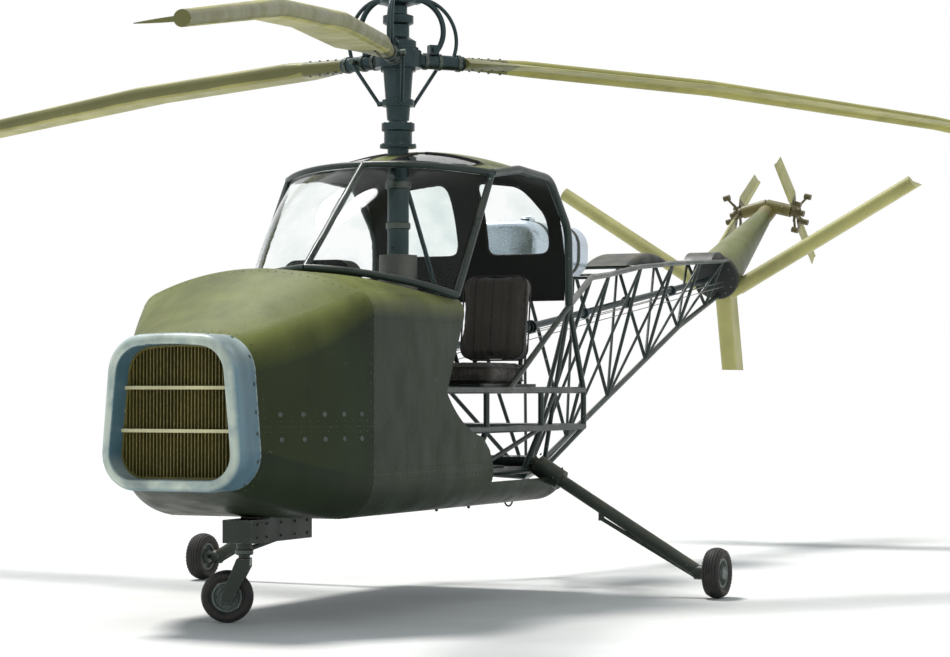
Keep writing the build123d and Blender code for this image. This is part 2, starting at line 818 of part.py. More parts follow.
for name, side in SIDES.items():
    with BuildPart() as seat_cushion:
        with BuildSketch(Plane.XY.offset(PAN_TOP + FIT)):
            with Locations((side * SEAT_MID_X, (SEAT_FRONT + SEAT_REAR) / 2)):
                RectangleRounded(SEAT_WIDTH, SEAT_DEPTH, 45)
        extrude(amount=CUSHION)
        fillet(faces().sort_by(Axis.Z)[-1].edges(), 24)
    save(seat_cushion, f"seat_cushion_{name}")

    back_plane = Plane(
        origin=(side * SEAT_MID_X, SEAT_REAR + BACK_SHIFT, CUSHION_TOP + FIT),
        x_dir=(1, 0, 0),
        z_dir=(0, -cos(LEAN), sin(LEAN)),
    )
    with BuildPart() as seat_back:
        with BuildSketch(back_plane):
            with Locations((0, BACK_HEIGHT / 2)):
                RectangleRounded(SEAT_WIDTH, BACK_HEIGHT, 60)
        extrude(amount=BACK_THICK)
        fillet(faces().sort_by(Axis.Y)[0].edges(), 24)
    save(seat_back, f"seat_back_{name}")


# Instruments and controls

with BuildPart() as instrument_panel:
    block(PANEL_CENTRE, PANEL_SIZE)
    top_edges = edges().filter_by(Axis.Y).group_by(Axis.Z)[-1]
    fillet(top_edges, 70)
    dial_face = PANEL_CENTRE[1] + PANEL_SIZE[1] / 2
    with BuildSketch(station(dial_face)):
        with Locations((0, PANEL_CENTRE[2] - 10)):
            with GridLocations(100, 90, 3, 2):
                Circle(DIAL_RADIUS)
    extrude(amount=DIAL_DEPTH, mode=Mode.SUBTRACT)
    pedestal_top = PANEL_CENTRE[2] - PANEL_SIZE[2] / 2
    pedestal_low = FLOOR_TOP + FIT
    block(
        (0, PANEL_CENTRE[1], (pedestal_top + pedestal_low) / 2),
        (*PEDESTAL_SIZE, pedestal_top - pedestal_low),
    )
save(instrument_panel, "instrument_panel")

with BuildPart() as flight_controls:
    for side in SIDES.values():
        base = (side * SEAT_MID_X, -330, FLOOR_TOP + FIT)
        with Locations(base):
            Cylinder(40, 30, align=(Align.CENTER, Align.CENTER, Align.MIN))
        bend = (side * SEAT_MID_X, -300, FLOOR_TOP + 360)
        grip = (side * SEAT_MID_X, -200, FLOOR_TOP + 520)
        strut((base[0], base[1], base[2] + 15), bend, STICK_RADIUS)
        strut(bend, grip, STICK_RADIUS + 2)
        lever = (side * (SEAT_INNER - 8), -230, FLOOR_TOP + FIT + 12)
        strut(lever, (lever[0], -330, FLOOR_TOP + 230), STICK_RADIUS)
        block((lever[0], lever[1], FLOOR_TOP + FIT + 12), (30, 60, 24))
        for x in (SEAT_MID_X - 80, SEAT_MID_X + 80):
            pedal = (side * x, -860, FLOOR_TOP + 150)
            strut((side * x, -900, FLOOR_TOP + FIT + 8), pedal, STICK_RADIUS - 3)
            block(pedal, (80, 24, 110))
            block((side * x, -900, FLOOR_TOP + FIT + 8), (50, 60, 16))
save(flight_controls, "flight_controls")


# Gearbox, mast and its braces

with BuildPart() as main_gearbox:
    with BuildSketch(Plane.XZ):
        with BuildLine():
            Polyline(
                (0, FLOOR_TOP + FIT),
                (GEARBOX_RADIUS, FLOOR_TOP + FIT),
                (GEARBOX_RADIUS, GEARBOX_TOP),
                (GEARBOX_NECK, GEARBOX_NECK_LOW),
                (GEARBOX_NECK, GEARBOX_NECK_TOP),
                (0, GEARBOX_NECK_TOP),
                close=True,
            )
        make_face()
    revolve(axis=Axis.Z)
    with Locations((0, 0, GEARBOX_TOP)):
        Cylinder(GEARBOX_RADIUS + 14, 24)
save(main_gearbox, "main_gearbox")

BEARING_FLOOR = BEARING_TOP - SHAFT_DEPTH

with BuildPart() as mast_housing:
    with BuildSketch(Plane.XZ):
        with BuildLine():
            Polyline(
                (0, GEARBOX_NECK_TOP + FIT),
                (MAST_RADIUS, GEARBOX_NECK_TOP + FIT),
                (MAST_RADIUS, MAST_TOP + 20),
                (BEARING_RADIUS + 16, MAST_TOP + 20),
                (BEARING_RADIUS + 16, MAST_TOP + 34),
                (BEARING_RADIUS - 4, MAST_TOP + 38),
                (BEARING_RADIUS - 4, BEARING_TOP - 40),
                (BEARING_RADIUS + 8, BEARING_TOP - 34),
                (BEARING_RADIUS + 8, BEARING_TOP),
                (SHAFT_RADIUS + SHAFT_FIT, BEARING_TOP),
                (SHAFT_RADIUS + SHAFT_FIT, BEARING_FLOOR),
                (0, BEARING_FLOOR),
                close=True,
            )
        make_face()
    revolve(axis=Axis.Z)
    for side in SIDES.values():
        brace_top = (side * MAST_RADIUS * 0.6, MAST_RADIUS * 0.6, BRACE_TOP_Z)
        brace_foot = (side * BRACE_FOOT_X, FRAME_BACK_Y, RAIL_Z)
        strut(brace_top, brace_foot, THIN_TUBE)
    rear_cross = (FRAME_SIDE_X, FRAME_BACK_Y, RAIL_Z)
    strut(flip(rear_cross, -1), rear_cross, CROSS_TUBE + FIT, Mode.SUBTRACT)
    mast_solid = mast_housing.part.solids().sort_by(SortBy.VOLUME)[-1]

with BuildPart() as mast:
    add(mast_solid)
save(mast, "mast_housing")


# Tail boom: two upper longerons and a keel tube, with frames between them

TAIL_AXIS = Vector(0, cos(radians(TAIL_RISE)), sin(radians(TAIL_RISE)))
ring_plane = Plane(origin=RING_CENTRE, x_dir=(1, 0, 0), z_dir=TAIL_AXIS)

# columns: y, x of the upper longerons, z of the upper longerons, z of the keel tube
BOOM_STATIONS = [
    (1500, 370, 1130, 90),
    (2050, 250, 1170, 290),
    (2650, 205, 1240, 508),
    (3250, 175, 1285, 726),
    (3800, 150, 1320, 926),
    (4300, 118, 1348, 1074),
]
BOOM_UPPER_END = (105, 4440, 1360)
BOOM_KEEL_BEND = (0, 3800, 926)
BOOM_KEEL_END = (0, 4560, 1150)

with BuildPart() as tail_boom:
    for side in SIDES.values():
        upper = [(HOOP_X, HOOP_FOOT_Y, HOOP_FOOT_Z)]
        upper += [(x, y, z) for y, x, z, keel in BOOM_STATIONS]
        upper.append(BOOM_UPPER_END)
        for bay, (start, end) in enumerate(zip(upper, upper[1:])):
            strut(flip(start, side), flip(end, side), BOOM_TUBE - BOOM_STEP * bay)
        for y, x, z, keel in BOOM_STATIONS:
            strut((0, y, keel), (side * x, y, z), BOOM_POST)
        for (y, x, z, keel), (next_y, next_x, next_z, next_keel) in zip(BOOM_STATIONS, BOOM_STATIONS[1:]):
            strut((0, y, keel), (side * next_x, next_y, next_z), BOOM_BRACE)
    for y, x, z, keel in BOOM_STATIONS:
        strut((-x, y, z), (x, y, z), BOOM_CROSS)
    strut(KEEL_JOINT, BOOM_KEEL_BEND, BOOM_TUBE)
    strut(BOOM_KEEL_BEND, BOOM_KEEL_END, BOOM_TUBE - BOOM_STEP)
    with Locations(ring_plane.offset(-TAIL_RING_THICK / 2 - FIT)):
        Cylinder(
            2 * TAIL_RING_RADIUS,
            2 * TAIL_RING_RADIUS,
            align=(Align.CENTER, Align.CENTER, Align.MIN),
            mode=Mode.SUBTRACT,
        )
save(tail_boom, "tail_boom")

with BuildPart() as tail_bulkhead:
    with BuildSketch(ring_plane.offset(-TAIL_RING_THICK / 2)):
        Circle(TAIL_RING_RADIUS)
    extrude(amount=TAIL_RING_THICK)
    fillet(edges().sort_by(Axis.Y)[0], TAIL_RING_THICK * 0.4)
save(tail_bulkhead, "tail_bulkhead")

CONE_START = TAIL_RING_THICK / 2 + FIT


def cone_form(growth, mode=Mode.ADD):
    """The tapered tail cone behind the bulkhead, in the part being built."""
    with Locations(ring_plane.offset(CONE_START)):
        Cone(
            TAIL_RING_RADIUS + growth,
            CONE_END_RADIUS + growth,
            CONE_LENGTH,
            align=(Align.CENTER, Align.CENTER, Align.MIN),
            mode=mode,
        )


with BuildPart() as tail_cone:
    cone_form(0)
save(tail_cone, "tail_cone")


def clear_tail():
    """Cuts the tail cone and its bulkhead, with their fit, out of a fin's root."""
    cone_form(FIT, Mode.SUBTRACT)
    with Locations(ring_plane.offset(-TAIL_RING_THICK / 2 - FIT)):
        Cylinder(
            TAIL_RING_RADIUS + FIT,
            TAIL_RING_THICK + 2 * FIT,
            align=(Align.CENTER, Align.CENTER, Align.MIN),
            mode=Mode.SUBTRACT,
        )


drive_end = Vector(*RING_CENTRE) - TAIL_AXIS * (TAIL_RING_THICK / 2 + FIT + DRIVE_RADIUS * 0.5)

with BuildPart() as tail_drive_shaft:
    drive_start = (0, GEARBOX_RADIUS + FIT, DRIVE_START_Z)
    strut(drive_start, drive_end, DRIVE_RADIUS)
    block((0, 0, DRIVE_START_Z), (300, 2 * (GEARBOX_RADIUS + FIT), 300), Mode.SUBTRACT)
save(tail_drive_shaft, "tail_drive_shaft")

BOOM_TOPS = [(y, z) for y, x, z, keel in BOOM_STATIONS] + [BOOM_UPPER_END[1:]]
# columns: front y, length, half width, rise of the dome, first of the two boom tops it lies along
COVERS = [
    (2620, 660, 150, 62, 2),
    (4150, 270, 92, 50, 5),
]


def cover_base(y, top):
    """A point of a cover's base, which lies along two of the boom's tops."""
    (low_y, low_z), (high_y, high_z) = BOOM_TOPS[top:top + 2]
    slope = (high_z - low_z) / (high_y - low_y)
    lift = (BOOM_CROSS + FIT) * sqrt(1 + slope ** 2)
    return Vector(0, y, low_z + slope * (y - low_y) + lift)


with BuildPart() as shaft_covers:
    for front, length, half, rise, top in COVERS:
        start = cover_base(front, top)
        end = cover_base(front + length, top)
        run = (end - start).normalized()
        with BuildSketch(Plane(origin=start, x_dir=run, z_dir=(1, 0, 0))) as dome:
            with BuildLine() as outline:
                ThreePointArc((0, 0), (length / 2, rise), (length, 0))
                Line((length, 0), (0, 0))
            make_face(outline.edges())
        extrude(dome.sketch, amount=half, both=True)
    for side in SIDES.values():
        fillet(edges().filter_by(GeomType.CIRCLE).group_by(Axis.X)[0 if side < 0 else -1], 36)
save(shaft_covers, "shaft_covers")

TANK_Z = BOOM_STATIONS[0][2] + BOOM_CROSS + FIT + TANK_HEIGHT / 2

with BuildPart() as fuel_tank:
    with BuildSketch(station(TANK_FRONT + TANK_LENGTH)):
        with Locations((0, TANK_Z)):
            RectangleRounded(TANK_WIDTH, TANK_HEIGHT, TANK_CORNER)
    extrude(amount=TANK_LENGTH)
    fillet(faces().filter_by(Axis.Y).edges(), TANK_HEIGHT / 7)
save(fuel_tank, "fuel_tank")


def fin_section(chord, thick):
    """A streamlined section of four arcs: local X runs aft from the quarter chord."""
    nose = -0.25 * chord
    crest = 0.05 * chord
    tail = 0.75 * chord
    with BuildLine() as outline:
        ThreePointArc((crest, thick / 2), (nose, 0), (crest, -thick / 2))
        ThreePointArc((crest, -thick / 2), (0.40 * chord, -0.34 * thick), (tail, -TRAILING / 2))
        Line((tail, -TRAILING / 2), (tail, TRAILING / 2))
        ThreePointArc((tail, TRAILING / 2), (0.40 * chord, 0.34 * thick), (crest, thick / 2))
    make_face(outline.edges())


def surface(rows):
    """A fin or blade lofted over sections: origin, x and z direction, chord, thickness."""
    sections = []
    for origin, x_dir, z_dir, chord, thick in rows:
        with BuildSketch(Plane(origin=origin, x_dir=x_dir, z_dir=z_dir)) as section:
            fin_section(chord, thick)
        sections.append(section.sketch)
    loft(sections, ruled=True)


TRAILING = 3
FIN_ROOT = (60, 4640, 1170)
FIN_TIP = (1180, 4870, 1850)
FIN_CHORD_ROOT = 300
FIN_CHORD_TIP = 280
FIN_THICK_ROOT = 30
FIN_THICK_TIP = 20
VENTRAL_ROOT = (0, 4660, 1200)
VENTRAL_TIP = (0, 4800, 675)
VENTRAL_CHORD = 320


for name, side in SIDES.items():
    rise = Vector(FIN_TIP[0] - FIN_ROOT[0], 0, FIN_TIP[2] - FIN_ROOT[2])
    with BuildPart() as fin:
        surface([
            (FIN_ROOT, (0, 1, 0), rise, FIN_CHORD_ROOT, FIN_THICK_ROOT),
            (FIN_TIP, (0, 1, 0), rise, FIN_CHORD_TIP, FIN_THICK_TIP),
        ])
        clear_tail()
        if side < 0:
            mirror(about=Plane.YZ, mode=Mode.REPLACE)
        outer_fin = fin.part.solids().sort_by(SortBy.VOLUME)[-1]
    with BuildPart() as fin_piece:
        add(outer_fin)
    save(fin_piece, f"fin_{name}")

with BuildPart() as ventral_fin:
    surface([
        (VENTRAL_TIP, (0, 1, 0), (0, 0, 1), VENTRAL_CHORD, FIN_THICK_TIP),
        (VENTRAL_ROOT, (0, 1, 0), (0, 0, 1), VENTRAL_CHORD, FIN_THICK_ROOT),
    ])
    clear_tail()
    lower_fin = ventral_fin.part.solids().sort_by(Axis.Z)[0]

with BuildPart() as ventral_piece:
    add(lower_fin)
save(ventral_piece, "ventral_fin")


# Tail gearbox and the two canted tail rotors

TAIL_DROP = sin(radians(TAIL_CANT))
TAIL_OUT = cos(radians(TAIL_CANT))
GEARBOX_CENTRE = Vector(0, TAIL_HUB_Y, TAIL_HUB_Z + TAIL_HUB_X * TAIL_DROP / TAIL_OUT)
cone_tail = Vector(*RING_CENTRE) + TAIL_AXIS * (CONE_START + CONE_LENGTH + FIT)


def shaft_axis(side):
    """Outward direction of one tail rotor's shaft."""
    return Vector(side * TAIL_OUT, 0, -TAIL_DROP)


def tail_hub(side):
    """Middle of one tail rotor's hub."""
    return Vector(side * TAIL_HUB_X, TAIL_HUB_Y, TAIL_HUB_Z)


with BuildPart() as tail_gearbox:
    with BuildSketch(Plane(origin=cone_tail, x_dir=(1, 0, 0), z_dir=TAIL_AXIS)):
        Circle(CONE_END_RADIUS - 4)
    extrude(amount=(GEARBOX_CENTRE - cone_tail).dot(TAIL_AXIS) + 70)
    fillet(edges().sort_by(Axis.Y)[-1], 30)
    for side in SIDES.values():
        out = shaft_axis(side)
        boss_end = tail_hub(side) - out * (TAIL_HUB_HALF + 6)
        strut(GEARBOX_CENTRE, boss_end, TAIL_BOSS_RADIUS)
        strut(boss_end, tail_hub(side) + out * (TAIL_HUB_HALF - 8), TAIL_SHAFT_RADIUS)
save(tail_gearbox, "tail_gearbox")

# degrees forward of the upward direction in each disc
TAIL_REST = {"port": 66.0, "starboard": -66.0}

for name, side in SIDES.items():
    out = shaft_axis(side)
    up = Vector(side * TAIL_DROP, 0, TAIL_OUT)
    forward = Vector(0, -1, 0)
    turn = radians(TAIL_REST[name])
    with BuildPart() as tail_rotor:
        with BuildSketch(Plane(origin=tail_hub(side) - out * TAIL_HUB_HALF, z_dir=out)):
            Circle(TAIL_HUB_RADIUS)
        extrude(amount=2 * TAIL_HUB_HALF)
        with BuildSketch(Plane(origin=tail_hub(side) - out * TAIL_HUB_HALF, z_dir=out)):
            Circle(TAIL_SHAFT_RADIUS + SHAFT_FIT)
        extrude(amount=2 * TAIL_HUB_HALF - 6, mode=Mode.SUBTRACT)
        for end in (1, -1):
            along = (up * cos(turn) + forward * sin(turn)) * end
            chordwise = along.cross(out).normalized()
            pitched = chordwise * cos(radians(TAIL_PITCH)) + out * sin(radians(TAIL_PITCH))
            strut(tail_hub(side) + along * (TAIL_HUB_RADIUS - 6), tail_hub(side) + along * 110, 14)
            surface([
                (tail_hub(side) + along * reach, pitched, along, chord, thick)
                for reach, chord, thick in (
                    (95, 0.6 * TAIL_CHORD, 2 * TAIL_BLADE_THICK),
                    (180, TAIL_CHORD, TAIL_BLADE_THICK),
                    (TAIL_ROTOR_RADIUS, 0.9 * TAIL_CHORD, 0.8 * TAIL_BLADE_THICK),
                )
            ])
        for arm in range(COUNTERWEIGHTS):
            swing = turn + radians(90) + 2 * pi * arm / COUNTERWEIGHTS
            along = up * cos(swing) + forward * sin(swing)
            elbow = tail_hub(side) + along * 70 + out * 12
            bob = tail_hub(side) + along * COUNTERWEIGHT_REACH + out * 40
            strut(tail_hub(side) + along * (TAIL_HUB_RADIUS - 8), elbow, 9)
            strut(elbow - along * 6, bob, 8)
            strut(bob - out * 22, bob + out * 22, 19)
        cap_start = tail_hub(side) + out * (TAIL_HUB_HALF - 1)
        strut(cap_start, cap_start + out * 34, TAIL_HUB_RADIUS * 0.6)
    save(tail_rotor, f"tail_rotor_{name}")


# Landing gear

WHEEL_Z = GROUND + MAIN_WHEEL_RADIUS
NOSE_WHEEL_Z = GROUND + NOSE_WHEEL_RADIUS
RIM_SHARE = 0.58


def tyre_form(centre, radius, width):
    """A tyre about an X axle, seated on its rim."""
    rim_radius = radius * RIM_SHARE
    plane = Plane(origin=centre, x_dir=(0, 0, 1), z_dir=(0, -1, 0))
    with BuildPart() as tyre:
        with BuildSketch(plane):
            with BuildLine() as section:
                Polyline(
                    (radius * 0.82, -width / 2),
                    (rim_radius + FIT, -width * 0.36),
                    (rim_radius + FIT, width * 0.36),
                    (radius * 0.82, width / 2),
                )
                ThreePointArc((radius * 0.82, width / 2), (radius, 0), (radius * 0.82, -width / 2))
            make_face(section.edges())
        revolve(axis=Axis(centre, (1, 0, 0)))
    return tyre


def rim_form(centre, radius, width, bore_start, bore_end):
    """A dished rim about an X axle, bored from one x to another."""
    rim_radius = radius * RIM_SHARE
    half_profile = [(0, 0.45), (0.45, 0.45), (0.55, 0.18), (0.8, 0.18), (0.86, 0.36), (1, 0.36)]
    outline_points = [(rim_radius * r, width * w) for r, w in half_profile]
    outline_points += [(rim_radius * r, -width * w) for r, w in reversed(half_profile)]
    plane = Plane(origin=centre, x_dir=(0, 0, 1), z_dir=(0, -1, 0))
    with BuildPart() as rim:
        with BuildSketch(plane):
            with BuildLine() as section:
                Polyline(*outline_points, close=True)
            make_face(section.edges())
        revolve(axis=Axis(centre, (1, 0, 0)))
        with BuildSketch(Plane(origin=(bore_start, centre[1], centre[2]), z_dir=(1, 0, 0))):
            Circle(AXLE_RADIUS + SHAFT_FIT)
        extrude(amount=bore_end - bore_start, mode=Mode.SUBTRACT)
    return rim


HUB_CAP = 8
AXLE_END_X = MAIN_WHEEL_X + MAIN_WHEEL_WIDTH * 0.45 - HUB_CAP

for name, side in SIDES.items():
    wheel_centre = (side * MAIN_WHEEL_X, MAIN_WHEEL_Y, WHEEL_Z)
    save(tyre_form(wheel_centre, MAIN_WHEEL_RADIUS, MAIN_WHEEL_WIDTH), f"main_tyre_{name}")
    bore = sorted((side * (MAIN_WHEEL_X - MAIN_WHEEL_WIDTH), side * (AXLE_END_X + 1)))
    rim = rim_form(wheel_centre, MAIN_WHEEL_RADIUS, MAIN_WHEEL_WIDTH, *bore)
    save(rim, f"main_rim_{name}")

    with BuildPart() as main_leg:
        leg_tubes(side, 0)
        root, leg_end = leg_line(side)
        stay_root = root + (leg_end - root) * STAY_SHARE
        stay_start = stay_root - Vector(0, 0, STAY_DROP)
        stay_end = Vector(side * (KNUCKLE_X - 20), MAIN_WHEEL_Y, WHEEL_Z - LEG_RADIUS * 0.8)
        strut(stay_root, stay_start - Vector(0, 0, STAY_RADIUS), STAY_RADIUS + 4)
        strut(stay_start, stay_end, STAY_RADIUS)
        strut(
            (side * (KNUCKLE_X - 32), MAIN_WHEEL_Y, WHEEL_Z),
            (side * (KNUCKLE_X + 8), MAIN_WHEEL_Y, WHEEL_Z),
            LEG_RADIUS + 4,
        )
        strut((side * KNUCKLE_X, MAIN_WHEEL_Y, WHEEL_Z), (side * AXLE_END_X, MAIN_WHEEL_Y, WHEEL_Z), AXLE_RADIUS)
        block(
            (side * (LEG_ROOT_X + FIT - 60), MAIN_WHEEL_Y, LEG_ROOT_Z + 60),
            (120, 120, 240),
            Mode.SUBTRACT,
        )
        low_tube = flip(FRAME_JOINTS["low_front"], side), flip(FRAME_JOINTS["low_end"], side)
        strut(*low_tube, TUBE + FIT, Mode.SUBTRACT)
    save(main_leg, f"main_leg_{name}")

NOSE_BOX_LOW = -88
NOSE_BOX_FRONT = -1490
NOSE_BOX_REAR = -970

with BuildPart() as nose_leg:
    box_top = BELLY - FIT
    block(
        (0, (BODY_FRONT + NOSE_BOX_REAR) / 2, (NOSE_BOX_LOW + box_top) / 2),
        (140, NOSE_BOX_REAR - BODY_FRONT, box_top - NOSE_BOX_LOW),
    )
    block(
        (0, (BODY_FRONT + NOSE_BOX_FRONT) / 2, (NOSE_BOX_LOW + BELLY - 6) / 2),
        (140, BODY_FRONT - NOSE_BOX_FRONT, BELLY - 6 - NOSE_BOX_LOW),
    )
    strut((0, CASTER_Y, NOSE_BOX_LOW + 5), (0, CASTER_Y, NOSE_STRUT_END), NOSE_STRUT_RADIUS)
    strut((0, CASTER_Y, NOSE_BOX_LOW + 5), (0, CASTER_Y, NOSE_BOX_LOW - 50), NOSE_STRUT_RADIUS + 9)
    strut((0, CASTER_Y, NOSE_STRUT_END + 30), (0, -1165, NOSE_BOX_LOW + 2), THIN_TUBE)
    with Locations((0, CASTER_Y, NOSE_STRUT_END)):
        Cylinder(
            SPINDLE_RADIUS + SHAFT_FIT,
            SPINDLE_LENGTH + 4,
            align=(Align.CENTER, Align.CENTER, Align.MIN),
            mode=Mode.SUBTRACT,
        )
save(nose_leg, "nose_leg")

FORK_TOP = NOSE_STRUT_END - 2
FORK_X = NOSE_WHEEL_WIDTH / 2 + FORK_GAP + FORK_PLATE / 2
CROWN_DEPTH = 30


def castered(piece):
    """A piece of the nose wheel, turned about the caster to where it stands."""
    with BuildPart() as turned:
        add(piece.part.rotate(Axis((0, CASTER_Y, 0), (0, 0, 1)), NOSE_TURN))
    return turned


with BuildPart() as nose_fork:
    block((0, CASTER_Y, FORK_TOP - CROWN_DEPTH / 2), (2 * FORK_X + FORK_PLATE, 56, CROWN_DEPTH))
    with Locations((0, CASTER_Y, FORK_TOP - 5)):
        Cylinder(SPINDLE_RADIUS, SPINDLE_LENGTH + 5, align=(Align.CENTER, Align.CENTER, Align.MIN))
    for side in SIDES.values():
        with BuildSketch(side_plane(side * FORK_X - FORK_PLATE / 2)) as arm:
            with BuildLine() as outline:
                Polyline(
                    (CASTER_Y + 28, FORK_TOP),
                    (CASTER_Y - 28, FORK_TOP),
                    (NOSE_WHEEL_Y - 18, NOSE_WHEEL_Z + 14),
                    (NOSE_WHEEL_Y - 18, NOSE_WHEEL_Z - 22),
                    (NOSE_WHEEL_Y + 22, NOSE_WHEEL_Z - 22),
                    (CASTER_Y + 28, FORK_TOP - CROWN_DEPTH - 6),
                    close=True,
                )
            make_face(outline.edges())
        extrude(amount=FORK_PLATE)
    strut((-FORK_X, NOSE_WHEEL_Y, NOSE_WHEEL_Z), (FORK_X, NOSE_WHEEL_Y, NOSE_WHEEL_Z), AXLE_RADIUS)
save(castered(nose_fork), "nose_fork")

nose_centre = (0, NOSE_WHEEL_Y, NOSE_WHEEL_Z)
nose_bore = NOSE_WHEEL_WIDTH / 2
nose_tyre = tyre_form(nose_centre, NOSE_WHEEL_RADIUS, NOSE_WHEEL_WIDTH)
nose_rim = rim_form(nose_centre, NOSE_WHEEL_RADIUS, NOSE_WHEEL_WIDTH, -nose_bore, nose_bore)
save(castered(nose_tyre), "nose_tyre")
save(castered(nose_rim), "nose_rim")


# Main rotor: shaft and hub, three grips and blades, head and links

BLADE_ANGLES = [FIRST_BLADE + 360 / BLADE_COUNT * index for index in range(BLADE_COUNT)]
TIP_DROOP = dict(zip(BLADE_ANGLES, BLADE_DROOPS))


def blade_axes(angle):
    """Outward and chordwise directions of one blade, the trailing edge a little low."""
    turn = radians(angle)
    pitch = radians(BLADE_PITCH)
    outward = Vector(sin(turn), -cos(turn), 0)
    aft = Vector(-cos(turn) * cos(pitch), -sin(turn) * cos(pitch), -sin(pitch))
    return outward, aft


def blade_point(angle, reach, lift=0):
    """A point along one drooping blade, raised by the lift."""
    outward, aft = blade_axes(angle)
    droop = TIP_DROOP[angle] * (reach / ROTOR_RADIUS) ** 2
    return outward * reach + Vector(0, 0, HUB_Z - droop + lift)


def cover_form(growth, mode=Mode.ADD):
    """The tapered cover that turns with the shaft, in the part being built."""
    with Locations((0, 0, COVER_LOW_Z)):
        Cone(
            COVER_LOW_RADIUS + growth,
            COVER_TOP_RADIUS + growth,
            COVER_TOP_Z - COVER_LOW_Z,
            align=(Align.CENTER, Align.CENTER, Align.MIN),
            mode=mode,
        )


with BuildPart() as rotor_hub:
    shaft_low = BEARING_FLOOR + 5
    with Locations((0, 0, shaft_low)):
        Cylinder(
            SHAFT_RADIUS,
            HUB_Z - shaft_low,
            align=(Align.CENTER, Align.CENTER, Align.MIN),
        )
    cover_form(0)
    with Locations((0, 0, COVER_TOP_Z)):
        Cylinder(COVER_TOP_RADIUS + 12, HUB_Z - COVER_TOP_Z, align=(Align.CENTER, Align.CENTER, Align.MIN))
    with Locations((0, 0, HUB_Z)):
        Cylinder(HUB_RADIUS, 2 * HUB_HALF)
    with Locations((0, 0, HUB_Z + HUB_HALF)):
        Cylinder(HUB_RADIUS - 14, 16, align=(Align.CENTER, Align.CENTER, Align.MIN))
save(rotor_hub, "rotor_hub")

HEAD_LOW = HUB_Z + HUB_HALF + 16 + FIT

with BuildPart() as rotor_head:
    with BuildSketch(Plane.XZ):
        with BuildLine():
            Polyline(
                (0, HEAD_LOW),
                (HEAD_RADIUS, HEAD_LOW),
                (HEAD_RADIUS, HEAD_LOW + 30),
                (HEAD_RADIUS * 0.62, HEAD_LOW + 50),
                (HEAD_RADIUS * 0.62, HEAD_LOW + 105),
                (HEAD_RADIUS * 0.85, HEAD_LOW + 115),
                (HEAD_RADIUS * 0.85, HEAD_LOW + 150),
                (HEAD_RADIUS * 0.5, HEAD_LOW + 160),
                (HEAD_RADIUS * 0.5, HEAD_TOP - 90),
                (HEAD_RADIUS, HEAD_TOP - 75),
                (HEAD_RADIUS, HEAD_TOP - 20),
                (HEAD_RADIUS * 0.5, HEAD_TOP),
                (0, HEAD_TOP),
                close=True,
            )
        make_face()
    revolve(axis=Axis.Z)
    for angle in BLADE_ANGLES:
        outward, aft = blade_axes(angle)
        arm_root = outward * (HEAD_RADIUS - 14) + Vector(0, 0, HEAD_TOP - 48)
        for radius, reach, bow in (
            (OUTER_ARM, OUTER_ARM_REACH, 250),
            (INNER_ARM, INNER_ARM_REACH, 172),
        ):
            crest = outward * bow + Vector(0, 0, HEAD_TOP - 0.45 * bow)
            foot = blade_point(angle, reach, GRIP_RADIUS + FIT)
            with BuildLine() as arm:
                ThreePointArc(arm_root, crest, foot)
            tube_along(arm.wire(), radius)
        lug_plane = Plane(
            origin=blade_point(angle, INNER_ARM_REACH, GRIP_RADIUS + ARM_LUG[2] / 2),
            x_dir=outward,
            z_dir=(0, 0, 1),
        )
        with Locations(lug_plane):
            Box(*ARM_LUG)
        pin = Vector(-outward.Y, outward.X, 0) * (ARM_LUG[1] / 2 + 10)
        strut(lug_plane.origin - pin, lug_plane.origin + pin, INNER_ARM - 2)
        ear_plane = Plane(
            origin=outward * (HEAD_RADIUS - 8) + Vector(0, 0, HEAD_TOP - 48),
            x_dir=outward,
            z_dir=(0, 0, 1),
        )
        with Locations(ear_plane):
            Box(56, 52, 46)
    for angle in BLADE_ANGLES:
        strut(blade_point(angle, HUB_RADIUS), blade_point(angle, BLADE_ROOT), GRIP_RADIUS + FIT, Mode.SUBTRACT)
save(rotor_head, "rotor_head")

HORN_REACH = 232
HORN_RADIUS = 12


def horn_tip(angle):
    """Where a grip's pitch horn meets its link, ahead of the blade's axis."""
    outward, aft = blade_axes(angle)
    return blade_point(angle, HORN_REACH) - aft * (GRIP_RADIUS + 22)


with BuildPart() as blade_grips:
    for angle in BLADE_ANGLES:
        strut(blade_point(angle, HUB_RADIUS - 10), blade_point(angle, BLADE_ROOT - FIT), GRIP_RADIUS)
        horn_root = blade_point(angle, HORN_REACH)
        strut(horn_root, horn_tip(angle), HORN_RADIUS)
    with Locations((0, 0, HUB_Z)):
        Cylinder(HUB_RADIUS + FIT, 4 * HUB_HALF, mode=Mode.SUBTRACT)
save(blade_grips, "blade_grips")

# columns: distance from the mast's axis, chord, thickness
BLADE_ROWS = [
    (BLADE_ROOT, 0.5 * BLADE_CHORD, 2 * BLADE_THICK),
    (BLADE_ROOT + 330, BLADE_CHORD, BLADE_THICK),
    (0.38 * ROTOR_RADIUS, BLADE_CHORD, BLADE_THICK),
    (0.68 * ROTOR_RADIUS, 0.9 * BLADE_CHORD, 0.85 * BLADE_THICK),
    (ROTOR_RADIUS, 0.7 * BLADE_CHORD, 0.6 * BLADE_THICK),
]

with BuildPart() as main_blades:
    for angle in BLADE_ANGLES:
        outward, aft = blade_axes(angle)
        surface([
            (blade_point(angle, reach), aft, outward, chord, thick)
            for reach, chord, thick in BLADE_ROWS
        ])
save(main_blades, "main_blades")

